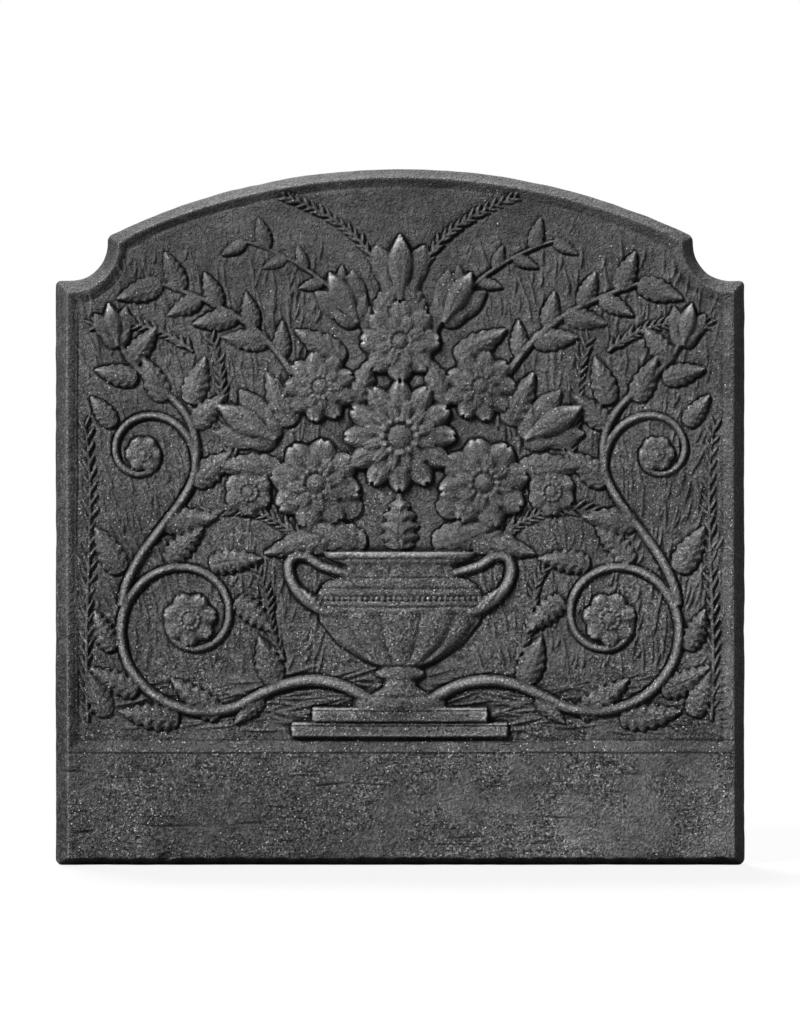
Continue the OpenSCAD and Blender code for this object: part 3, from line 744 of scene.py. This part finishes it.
def gridPatch(columns, rows, keep, loops, holes):
    # quads where all four corners are kept, and triangles from their ragged edge out to the loops
    full = fullCells(keep)
    (gi, gj), quads, rim = cellGrid(full)
    gridPoints = np.stack([columns[gi], rows[gj]], 1)
    rimIds = np.unique(rim)
    local = {int(v): k for k, v in enumerate(rimIds)}
    flat = [Vector(gridPoints[v]) for v in rimIds]
    lines = [(local[int(a)], local[int(b)]) for a, b in rim]
    ids = [("grid", int(v)) for v in rimIds]
    for n, loop in enumerate(loops):
        base, count = len(flat), len(loop)
        flat += [Vector(p) for p in loop]
        lines += [(base + k, base + (k + 1) % count) for k in range(count)]
        ids += [(n, k) for k in range(count)]
    points, _, triangles, origin, _, _ = delaunay_2d_cdt(flat, lines, [], 1, 1e-7, True)
    triangles = np.array(triangles)
    centres = np.array([tuple(p) for p in points])[triangles].mean(1)
    cells = np.floor((centres - (columns[0], rows[0])) / (columns[1] - columns[0])).astype(int)
    cells = np.clip(cells, 0, np.array(full.shape) - 1)
    wanted = ~full[cells[:, 0], cells[:, 1]] & insideLoop(centres, np.asarray(loops[0]))
    for hx, hz, radius in holes:
        wanted &= np.hypot(centres[:, 0] - hx, centres[:, 1] - hz) > radius
    kept = [[ids[origin[k][0]] for k in triangle] for triangle in triangles[wanted]]
    return gridPoints, (gi, gj), quads, kept


def meshFrom(name, flat, faces):
    # from the drawing board to the shared frame: the face looks along -Y
    placed = np.column_stack([flat[:, 0], backY - flat[:, 2], flat[:, 1]]) * mm
    mesh = bpy.data.meshes.new(name)
    starts = np.cumsum([0] + [len(f) for f in faces])
    corners = np.concatenate([np.asarray(f, dtype=np.int32) for f in faces])
    mesh.vertices.add(len(placed))
    mesh.vertices.foreach_set("co", placed.ravel())
    mesh.loops.add(len(corners))
    mesh.loops.foreach_set("vertex_index", corners)
    mesh.polygons.add(len(faces))
    mesh.polygons.foreach_set("loop_start", starts[:-1].astype(np.int32))
    mesh.update(calc_edges=True)
    mesh.validate()
    return mesh


def buildMotifs(columns, rows, ground, motifs):
    # the raised work as a shell of its own, whose edge and back lie inside the plate
    keep = motifs > ground - 0.3
    for _ in range(2):
        keep[1:-1, 1:-1] |= keep[2:, 1:-1] | keep[:-2, 1:-1] | keep[1:-1, 2:] | keep[1:-1, :-2]
    cells = fullCells(keep)
    while True:  # cells that touch only at a corner are joined, so that every edge has two faces
        a, b, c, e = cells[:-1, :-1], cells[1:, :-1], cells[:-1, 1:], cells[1:, 1:]
        crossed = (a & e & ~b & ~c) | (b & c & ~a & ~e)
        if not crossed.any():
            break
        for part in (a, b, c, e):
            part |= crossed
    (gi, gj), quads, rim = cellGrid(cells)
    low = len(gi)
    walls = np.stack([rim[:, 1], rim[:, 0], rim[:, 0] + low, rim[:, 1] + low], 1)
    back = cs["crestThickness"] - cs["panelDepth"] - 4.5
    flat = [np.column_stack([columns[gi], rows[gj], depth])
            for depth in (np.clip(motifs[gi, gj], 1, faceLimit), np.full(low, back))]
    return meshFrom("motifs", np.concatenate(flat), np.concatenate([quads, quads[:, ::-1] + low, walls]))


def sandCoarse(shape):
    # the back's surface, which lay in open sand: fine and broad roughness
    rng = np.random.default_rng(31)
    field = 0
    for rounds, height in zip((2, 40), cs["backRoughness"]):
        part = rng.standard_normal(shape)
        for _ in range(rounds):
            part = sum((np.roll(part, way, axis) for axis in (0, 1) for way in (1, -1)), part) / 5
        field = field + height * part / part.std()
    return np.clip(field + 0.45, 0, 1.2)


def addBack(points, faces, lastRow):
    # the back with its bosses; lastRow is where the wall's last row of points begins
    r, tip, step, count = cs["cornerRadius"], cs["tipRadius"], cs["backGrain"], cs["bossSides"]
    bossRadius, bossHeight = cs["bossRadius"], cs["bossHeight"]
    rootRadius = bossRadius + cs["bossDraft"] + 1.6
    columns = np.arange(-math.floor(halfWidth / step), math.floor(halfWidth / step) + 1) * step
    rows = np.arange(0, math.floor(topHeight / step) + 2) * step
    x, z = np.meshgrid(columns, rows, indexing="ij")
    inwards = edgeDistance(x, z)
    keep = (np.minimum(inwards, z) > 2.4) & ((np.abs(x) < halfWidth - r) | (z > r))
    keep &= (np.abs(x) < halfWidth - tip) | (z < cs["shoulderHeight"] - tip)
    bosses = [(side * cs["bossX"], high) for side in (-1, 1) for high in cs["bossHeights"]]
    for hx, hz in bosses:
        keep &= np.hypot(x - hx, z - hz) > rootRadius + 0.4
    turn = np.linspace(0, 2 * np.pi, count + 1)[:-1]
    circle = np.stack([np.cos(turn), np.sin(turn)], 1)
    loops = [points[-1][:, :2]] + [np.array(boss) + rootRadius * circle for boss in bosses]
    holes = [(*boss, rootRadius - 0.2) for boss in bosses]
    flat, (i, j), quads, strip = gridPatch(columns, rows, keep, loops, holes)
    near = np.min([np.hypot(*(flat - boss).T) for boss in bosses], 0)
    fade = share((inwards[i, j] - 2) / 12) * share((near - rootRadius) / 10)
    backBase = sum(len(p) for p in points)
    points.append(np.column_stack([flat, sandCoarse(x.shape)[i, j] * fade]))
    bossBase = backBase + len(flat)
    rings = [(rootRadius, 0.0), (rootRadius - 0.9, 0.45), (bossRadius + 1.75, 1.4),
             (bossRadius + 0.35, bossHeight - 1.0), (bossRadius - 0.1, bossHeight - 0.35),
             (bossRadius - 0.8, bossHeight), (5.0, bossHeight)]
    bossPoints = len(rings) * count + 1
    starts = {"grid": backBase, 0: lastRow}
    for n, boss in enumerate(bosses):
        points += [np.column_stack([np.array(boss) + radius * circle, np.full(count, -height)])
                   for radius, height in rings]
        points.append(np.array([[*boss, -bossHeight]]))
        start = starts[n + 1] = bossBase + n * bossPoints
        for a in range(start, start + bossPoints - 1, count):
            last = a + count == start + bossPoints - 1
            for k in range(count):
                inner = (a + count,) if last else (a + count + (k + 1) % count, a + count + k)
                faces.append((a + k, a + (k + 1) % count, *inner)[::-1])
    faces += [tuple(backBase + v for v in q)[::-1] for q in quads]
    faces += [tuple(starts[where] + v for where, v in triangle)[::-1] for triangle in strip]


def buildCasting():
    columns, rows, x, z, inwards, front, motifs, marks = sculptFront()
    loop, inward, wave = wavyLoop(cs["grain"])
    corner, r, tip = inwards, cs["cornerRadius"], cs["tipRadius"]
    tipStart = cs["shoulderHeight"] - tip
    for radius, middle, beyond in ((r, r, z < r), (tip, tipStart, z > tipStart)):
        rounded = radius - np.hypot(np.abs(x) - halfWidth + radius, z - middle)
        corner = np.where((np.abs(x) > halfWidth - radius) & beyond, rounded, corner)
    margin = cs["edgeWave"] * 1.4 + 0.45 * cs["grain"]
    keep = (np.minimum(corner, z) > margin) & (inwards - tipWear(x, z) > margin)
    gridPoints, (gi, gj), quads, strip = gridPatch(columns, rows, keep, [loop + inward * wave[:, None]], [])
    points = [np.column_stack([gridPoints, np.clip(front[gi, gj], 1, faceLimit)])]
    base, n = len(gridPoints), len(loop)
    faces = [tuple(q) for q in quads]
    faces += [tuple(v if where == "grid" else base + v for where, v in triangle) for triangle in strip]
    # rows of the wall: front edge, middle, the rounded back edge
    wall = [(0.0, cs["edgeThickness"] - 0.1), (0.0, 0.5 * cs["edgeThickness"]), (0.05, 0.7), (0.75, 0.0)]
    for inset, height in wall:
        points.append(np.column_stack([loop + inward * (wave[:, None] + inset), np.full(n, height)]))
    for a in range(base, base + (len(wall) - 1) * n, n):
        faces += [(a + k, a + n + k, a + n + (k + 1) % n, a + (k + 1) % n) for k in range(n)]
    addBack(points, faces, base + (len(wall) - 1) * n)
    casting = meshFrom("casting", np.concatenate(points), faces)
    return casting, buildMotifs(columns, rows, front, motifs), (columns, rows, marks)


def markFace(mesh, columns, rows, marks):
    # notes at each point for the finish: mm above its surroundings, how far it is relief, rim and the like
    points, _ = meshParts(mesh)
    across = (points[:, 0] / mm - columns[0]) / cs["grain"]
    upward = (points[:, 2] / mm - rows[0]) / cs["grain"]
    i, j = np.floor(across).astype(int), np.floor(upward).astype(int)
    a, b = across - i, upward - j
    behind = points[:, 1] > (backY - cs["edgeThickness"] * 0.9) * mm
    for name, field in marks.items():
        value = ((1 - a) * (1 - b) * field[i, j] + a * (1 - b) * field[i + 1, j]
                 + (1 - a) * b * field[i, j + 1] + a * b * field[i + 1, j + 1])
        value[behind] = 0
        mesh.attributes.new(name, "FLOAT", "POINT").data.foreach_set("value", value)


def finishCasting(name, mesh, sculpt):
    thing = addObject(name, mesh)
    thin = thing.modifiers.new("thin", "DECIMATE")
    thin.ratio = min(1, cs["triangles"] / sum(len(p.vertices) - 2 for p in mesh.polygons))
    mesh = plainMesh(thing)
    thing.modifiers.clear()
    thing.data = mesh
    points, _ = meshParts(mesh)
    mesh.vertices.foreach_set("co", np.clip(points, plateLow, plateHigh).ravel())
    mesh.polygons.foreach_set("use_smooth", [True] * len(mesh.polygons))
    markFace(mesh, *sculpt)
    mesh.update()
    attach(thing, "root")
    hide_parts("cast_plate")
    print(name + ":", len(mesh.polygons), "faces")
    return thing


*castingMeshes, sculpt = buildCasting()
castIron = [finishCasting(name, mesh, sculpt) for name, mesh in zip(("casting", "motifs"), castingMeshes)]


def newMaterial(name):
    material = bpy.data.materials.new(name)
    material.use_nodes = True
    tree = material.node_tree
    return material, tree, tree.nodes["Principled BSDF"], partial(addNode, tree)


colourMix = {"output": "Result", "data_type": "RGBA"}
ironPatterns = {  # scale a metre, detail, roughness, distortion
    "sand": (330.0, 1.0, 0.5, 0.9),  # worm-like ridges: sand of 0.3 mm drawn 1.2 mm wide so that it shows
    "grit": (900.0, 1.0, 0.5, 0.8),
    "ends": (520.0, 0.0, 0.5, 0.0),  # breaks the ridges off
    "cloud": (13.0, 7.0, 0.66, 0.0),  # uneven polish, 80 mm wide
    "patches": (30.0, 3.0, 0.5, 0.0),  # smooth and rough ground, 30 mm wide
    # drawn out in one direction: then also the scales across, in depth and up, and the lean
    "streak": (1.0, 2.0, 0.5, 0.0, (500.0, 500.0, 90.0), 0.0),  # from drawing the mould: 2 mm by 11 mm
    "mottle": (1.0, 2.0, 0.5, 0.6, (75.0, 160.0, 170.0), 0.0),  # from levelling the sand: 13 mm by 6 mm
    "fleck": (2.6, 1.0, 0.5, 0.6, (75.0, 160.0, 170.0), 0.0),  # thin and dark, 5 mm long
    "scratch": (1.0, 1.0, 0.5, 0.5, (48.0, 300.0, 620.0), 0.05),  # nearly level: up to 20 mm long, 1 mm wide
}
# colours laid on top: worn metal with painted sheen, a painted highlight, a worn crest with painted
# highlight, and black for painted shade and shadow
ironColours = {"rubbedAndSheen": "7c7c7d", "paintedHighlight": "c8c8c9", "worn": "8e8e8f", "soot": "0b0b0c"}
ledgeShadowLines = (  # painted shadow lines, 1.2 mm wide, along the ledge's two edges: height, strength at the left and right
    (cs["bandHeight"] - 0.1, 0.8, 0.8),
    (floorStart + 0.6, 0.4, 0.75),
)


def blackedIron(name, low, high, glint):
    # cast iron from a sand mould, rubbed with black stove polish: dark grey and grainy, shinier where hands
    # and cloths reach; the sand's print shows as worm-like ridges among fine grit
    # the colour also carries painted light: painted shade on the rim, foot and upper panel, painted shadows
    # round the motifs and along the ledge, painted sheen, highlights and glints
    material, tree, shader, add = newMaterial(name)
    colours = {label: hexColour(code) for label, code in {**ironColours, "glint": glint}.items()}

    def overlap(*ranges):
        # the product of ranges, each a source, two limits and the values there, if they aren't 0 and 1
        whole, *others = [add("MapRange", span) for span in ranges]
        for other in others:
            whole = add("Math", [whole, other], operation="MULTIPLY")
        return whole

    def deviation(source, middle):
        return add("Math", [add("Math", [source, middle], operation="SUBTRACT")], operation="ABSOLUTE")

    place = add("TexCoord", output="Object")
    x, y, z = add("SeparateXYZ", [place], None)
    proud, carved, rim, strip, soot = [  # proud is in mm above the ground near it
        add("Attribute", output="Fac", attribute_name=label)
        for label in ("proud", "carved", "rim", "strip", "soot")]
    noise = {}
    for label, (scale, detail, roughness, distortion, *drawn) in ironPatterns.items():
        where = place
        if drawn:
            where = add("Mapping", {"Vector": place, "Rotation": (0.0, drawn[1], 0.0), "Scale": drawn[0]})
        noise[label] = add("TexNoise", {"Vector": where, "Scale": scale, "Detail": detail,
                                        "Roughness": roughness, "Distortion": distortion})
    cloud, patches, ends = noise["cloud"], noise["patches"], noise["ends"]

    # the grain: whole ridges over broken grit, calmer higher up, on the relief and in smooth patches
    broken = add("Math", [add("MapRange", [noise["grit"], 0.4, 0.6]), 0.22], operation="MULTIPLY")
    worms = overlap((deviation(noise["sand"], 0.5), 0.075, 0.015), (ends, 0.42, 0.52))
    grain = add("Math", [worms, 0.78, broken], operation="MULTIPLY_ADD")
    calm = add("MapRange", [carved, 0.0, 1.0, 0.0, 0.15])
    for calmer in (
            add("MapRange", [z, 0.1, 0.44, 0.0, 0.62]),
            add("MapRange", [strip, 0.0, 1.0, 0.0, 0.5]),
            overlap((patches, 0.5, 0.41, 0.0, 0.5), (x, -0.25, 0.05, 0.45, 1.0))):
        calm = add("Math", [calm, calmer], operation="MAXIMUM")
    evened = add("Mix", {"Factor": calm, "A": grain, "B": 0.33})
    # black lies in the pits of the sand and is thin on its tops
    ground = add("Mix", {"Factor": evened, "A": hexColour(low), "B": hexColour(high)}, **colourMix)

    # shade: painted shade on the rim, darker towards the hearth; streaks on the side bevels; painted light
    # and shade on the slopes round the panel, the ledge brighter at its top
    outwards = add("Math", [x], operation="ABSOLUTE")
    bevels = rim
    for reach in ((outwards, 0.234, 0.24), (z, 0.428, 0.42)):
        bevels = add("Math", [bevels, add("MapRange", reach)], operation="MULTIPLY")
    stripTilt = add("Math", [z, add("MapRange", [x, -0.25, 0.0, 0.07, 0.0])], operation="ADD")
    rimShade, streaked, stripShade = [
        add("Mix", {"Factor": where, "A": 1.0, "B": add("MapRange", span)}) for where, span in (
            (rim, (z, 0.03, 0.22, 0.24, 0.41)),
            (bevels, (noise["streak"], 0.36, 0.66, 0.72, 1.4)),
            (strip, (stripTilt, 0.09, 0.36, 0.82, 1.12)))]
    # painted light, brighter at the lower right and upper left, less so on the rim
    lightGradient = overlap((x, -0.25, 0.12, -1.0, 0.6), (z, 0.04, 0.25, 0.36, -0.06), (rim, 0.0, 1.0, 1.0, -0.6))
    # painted shade along the foot, up to the corner's mitre
    ragged = add("Math", [z, add("MapRange", [cloud, 0.3, 0.7, -0.004, 0.003])], operation="ADD")
    mitre = add("Math", [z, 1.5, outwards], operation="MULTIPLY_ADD")
    footShade = add("Math", [add("MapRange", [ragged, 0.003, 0.008, 0.02, 1.0]),
                        add("MapRange", [mitre, 0.2475, 0.2505])], operation="MAXIMUM")
    # painted shade: darker high on the panel under the arch, but not on the rim
    top = add("Math", [add("MapRange", [z, 0.36, 0.46, 1.0, 0.72]), rim], operation="MAXIMUM")
    flecks = overlap((deviation(noise["fleck"], 0.5), 0.085, 0.03), (ends, 0.5, 0.45),
                     (calm, 0.0, 0.7, 1.0, 0.3))
    scratches = overlap((noise["scratch"], 0.61, 0.66), (patches, 0.5, 0.58), (carved, 0.0, 0.2, 1.0, 0.0),
                        (z, 0.12, 0.2, 1.0, 0.15))
    # the ledge's painted shadow lines waver a little and end before the rim
    wobble = z
    for span in ((cloud, 0.3, 0.7, -0.0004, 0.0004), (rim, 0.0, 0.3, 0.0, 1.0)):
        wobble = add("Math", [wobble, add("MapRange", span)], operation="ADD")
    lines = [
        overlap((deviation(wobble, height * mm), 0.0011, 0.0004), (x, -0.2, 0.15, atLeft, atRight),
                (y, -0.008, -0.01), (carved, 0.0, 0.1, 1.0, 0.0))
        for height, atLeft, atRight in ledgeShadowLines]
    shade = add("MapRange", [cloud, 0.36, 0.64, 0.64, 1.34])
    for factor in (
            rimShade, streaked,
            add("MapRange", [lightGradient, -1.0, 1.0, 0.08, 2.08]),  # painted light: brighter at the lower right and upper left
            footShade, stripShade, top, add("MapRange", [noise["mottle"], 0.3, 0.7, 0.72, 1.28]),
            *[add("MapRange", [dark, 0.0, 1.0, 1.0, left]) for dark, left in (
                (flecks, 0.16), (lines[0], 0.0), (lines[1], 0.0), (scratches, 0.25))]):
        shade = add("Math", [shade, factor], operation="MULTIPLY")
    ground = add("Mix", {"Factor": 1.0, "A": ground, "B": shade}, blend_type="MULTIPLY", **colourMix)

    # the polish wears off the grains first, and off whole ridges of the relief: the colour is lighter there,
    # partly worn metal and partly painted sheen
    rubbedAndSheen = overlap((proud, 0.2, 1.5), (carved, 0.0, 1.0, 0.25, 1.0), (evened, 0.05, 0.55, 0.3, 1.0))
    # painted highlight: near white along the highest ridges of the relief
    paintedHighlight = add("Math", [add("MapRange", [proud, 0.8, 2.0, 0.0, 0.62]), carved], operation="MULTIPLY")
    paintedHighlight = add("Math", [paintedHighlight, add("MapRange", [evened, 0.08, 0.5, 0.25, 1.0])], operation="MULTIPLY")
    worn = overlap((rim, 0.0, 0.5), (rim, 1.0, 0.5), (grain, 0.0, 0.8, 0.12, 0.75))  # where cloths catch: a worn edge with a painted highlight along the crest of the rim
    # painted shade in the hollows and the trench, and the soot mark's painted shadow and darker scars, in
    # black
    hollow = add("Math", [add("MapRange", [proud, -0.3, -1.0, 0.0, 0.9]),
                          add("MapRange", [soot, 0.1, 0.9, 0.0, 0.92])], operation="MAXIMUM")
    # painted glints: single grains drawn by lot, as bright specks
    grains = add("TexVoronoi", {"Vector": place, "Scale": 1250.0}, "Color")
    fewer = add("Math", [rim, add("MapRange", [z, 0.2, 0.5, 0.0, 0.012])], operation="MAXIMUM")
    chance = add("Math", [add("MapRange", [patches, 0.4, 0.65, 1.0, 0.98]), fewer], operation="ADD")
    bare = add("Math", [add("SeparateColor", [grains]), chance], operation="GREATER_THAN")
    for where, label in (
            (rubbedAndSheen, "rubbedAndSheen"), (paintedHighlight, "paintedHighlight"), (worn, "worn"), (hollow, "soot"), (bare, "glint")):
        ground = add("Mix", {"Factor": where, "A": ground, "B": colours[label]}, **colourMix)
    strength = overlap((rim, 0.0, 1.0, 1.0, 0.65), (carved, 0.0, 1.0, 1.0, 0.8))
    fine = add("Bump", {"Strength": strength, "Distance": 0.0008, "Height": grain})
    bumps = add("Bump", {"Strength": strength, "Distance": 0.0016, "Height": noise["sand"], "Normal": fine})
    for socket, value in (
            ("Base Color", ground), ("Metallic", add("Math", [rubbedAndSheen, 0.5], operation="MULTIPLY")),
            ("Roughness", add("MapRange", [carved, 0.0, 1.0, 0.62, 0.38])), ("Normal", bumps)):
        tree.links.new(value, shader.inputs[socket])
    shader.inputs["Specular IOR Level"].default_value = 0.14
    return material


def platedSteel():
    # bought M8 bolts and washers, zinc plated: grey metal gone dull, with soot in patches 4 mm wide
    material, tree, shader, add = newMaterial("zincPlatedSteel")
    place = add("TexCoord", output="Object")
    dull = add("TexNoise", {"Vector": place, "Scale": 260.0, "Detail": 5.0, "Roughness": 0.6})
    soot = add("MapRange", {"Value": dull, "From Min": 0.42, "From Max": 0.68})
    fine = add("TexNoise", {"Vector": place, "Scale": 1800.0, "Detail": 2.0})
    zinc = {"Factor": soot, "A": hexColour("a5a6a8"), "B": hexColour("4a4845")}
    for socket, value in (
            ("Base Color", add("Mix", zinc, **colourMix)),
            ("Roughness", add("MapRange", {"Value": soot, "To Min": 0.34, "To Max": 0.62})),
            ("Normal", add("Bump", {"Strength": 0.3, "Distance": 0.0002, "Height": fine}))):
        tree.links.new(value, shader.inputs[socket])
    shader.inputs["Metallic"].default_value = 0.9
    return material


iron = blackedIron("blackedCastIron", "373738", "828282", "b4b4b4")
legIron = blackedIron("legCastIron", "1a1a1b", "666564", "6c6c6c")
steel = platedSteel()
for name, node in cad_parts.items():
    if name != "cast_plate":
        node.data.materials.clear()
        node.data.materials.append(legIron if name.endswith("_leg") else steel)
for thing in castIron:
    thing.data.materials.clear()
    thing.data.materials.append(iron)
print("finishes on")


def seenWhere(add):
    # rays from the camera, rays that gloss or glass sends on, and either of them
    ray = add("LightPath", output=None)
    bounced = add("Math", [ray["Is Glossy Ray"], ray["Is Transmission Ray"]], operation="MAXIMUM")
    return ray["Is Camera Ray"], bounced, add("Math", [ray["Is Camera Ray"], bounced], operation="MAXIMUM")


floor = addObject("floor", meshOf("floor", [(-6, -6, 0), (6, -6, 0), (6, 6, 0), (-6, 6, 0)], [(0, 1, 2, 3)]))
floorMaterial, tree, shader, add = newMaterial("paleFloor")
shader.inputs["Roughness"].default_value = 0.9
fromCamera, bounced, seen = seenWhere(add)
tones = {"Factor": seen, "A": hexColour("181818"), "B": hexColour("959595")}
tree.links.new(add("Mix", tones, **colourMix), shader.inputs["Base Color"])
# white paper on which the shadow stays faint, as in the photograph, and fades out with the distance
place = add("TexCoord", output="Object")
away = add("VectorMath", [place], "Value", operation="LENGTH")
paper = add("MapRange", {"Value": away, "From Min": 0.4, "From Max": 1.2, "To Min": 0.84})
depth = add("Math", [add("SeparateXYZ", [place], "Y")], operation="ABSOLUTE")
ownShade = add("MapRange", {"Value": depth, "From Min": 0.03, "From Max": 0.5})
direct = add("Math", [fromCamera, paper], operation="MULTIPLY")
whiteShare = add("Math", [bounced, ownShade, direct], operation="MULTIPLY_ADD")
white = add("Emission", {"Color": hexColour("ffffff"), "Strength": 1.0})
surface = add("MixShader", [whiteShare, shader.outputs[0], white])
tree.links.new(surface, tree.nodes["Material Output"].inputs["Surface"])
floor.data.materials.append(floorMaterial)

world = bpy.data.worlds.new("studio")
bpy.context.scene.world = world
world.use_nodes = True
tree = world.node_tree
background = tree.nodes["Background"]
background.inputs["Color"].default_value = hexColour("ffffff")
add = partial(addNode, tree)
level = add("MapRange", {"Value": seenWhere(add)[2], "To Min": 0.12, "To Max": 1.0})
tree.links.new(level, background.inputs["Strength"])


def distantLight(name, towards, power, softness):
    light = bpy.data.lights.new(name, "SUN")
    light.energy = power
    light.angle = math.radians(softness)
    thing = addObject(name, light)
    thing.rotation_euler = Vector(towards).to_track_quat("Z", "Y").to_euler()


distantLight("keyLight", (-0.63, -0.50, 0.59), 6.3, 20)  # high on the left, through a wide soft box
distantLight("topLight", (-0.12, 0.3, 0.94), 7.6, 14)  # over the top edge, onto bevels and carving

photo = {
    "width": 800, "height": 1024,  # pixels
    "left": 55.1, "right": 745.1, "top": 168.7, "bottom": 865.0,  # the plate in it
    "distance": 2.6,  # metres from the camera to the plate
}
pixel = (plateHigh.x - plateLow.x) / (photo["right"] - photo["left"])
frontY = plateLow.y + 0.012
camera = bpy.data.cameras.new("camera")
camera.sensor_fit = "VERTICAL"
camera.sensor_height = 36.0
camera.lens = camera.sensor_height * photo["distance"] / (photo["height"] * pixel)
cameraObject = addObject("camera", camera)
centreX = (photo["width"] / 2 - (photo["left"] + photo["right"]) / 2) * pixel
centreZ = plateHigh.z / 2 + ((photo["top"] + photo["bottom"]) / 2 - photo["height"] / 2) * pixel
cameraObject.location = (centreX, frontY - photo["distance"], centreZ)
cameraObject.rotation_euler = (math.pi / 2, 0, 0)
bpy.context.scene.camera = cameraObject
bpy.context.scene.view_settings.view_transform = "Standard"
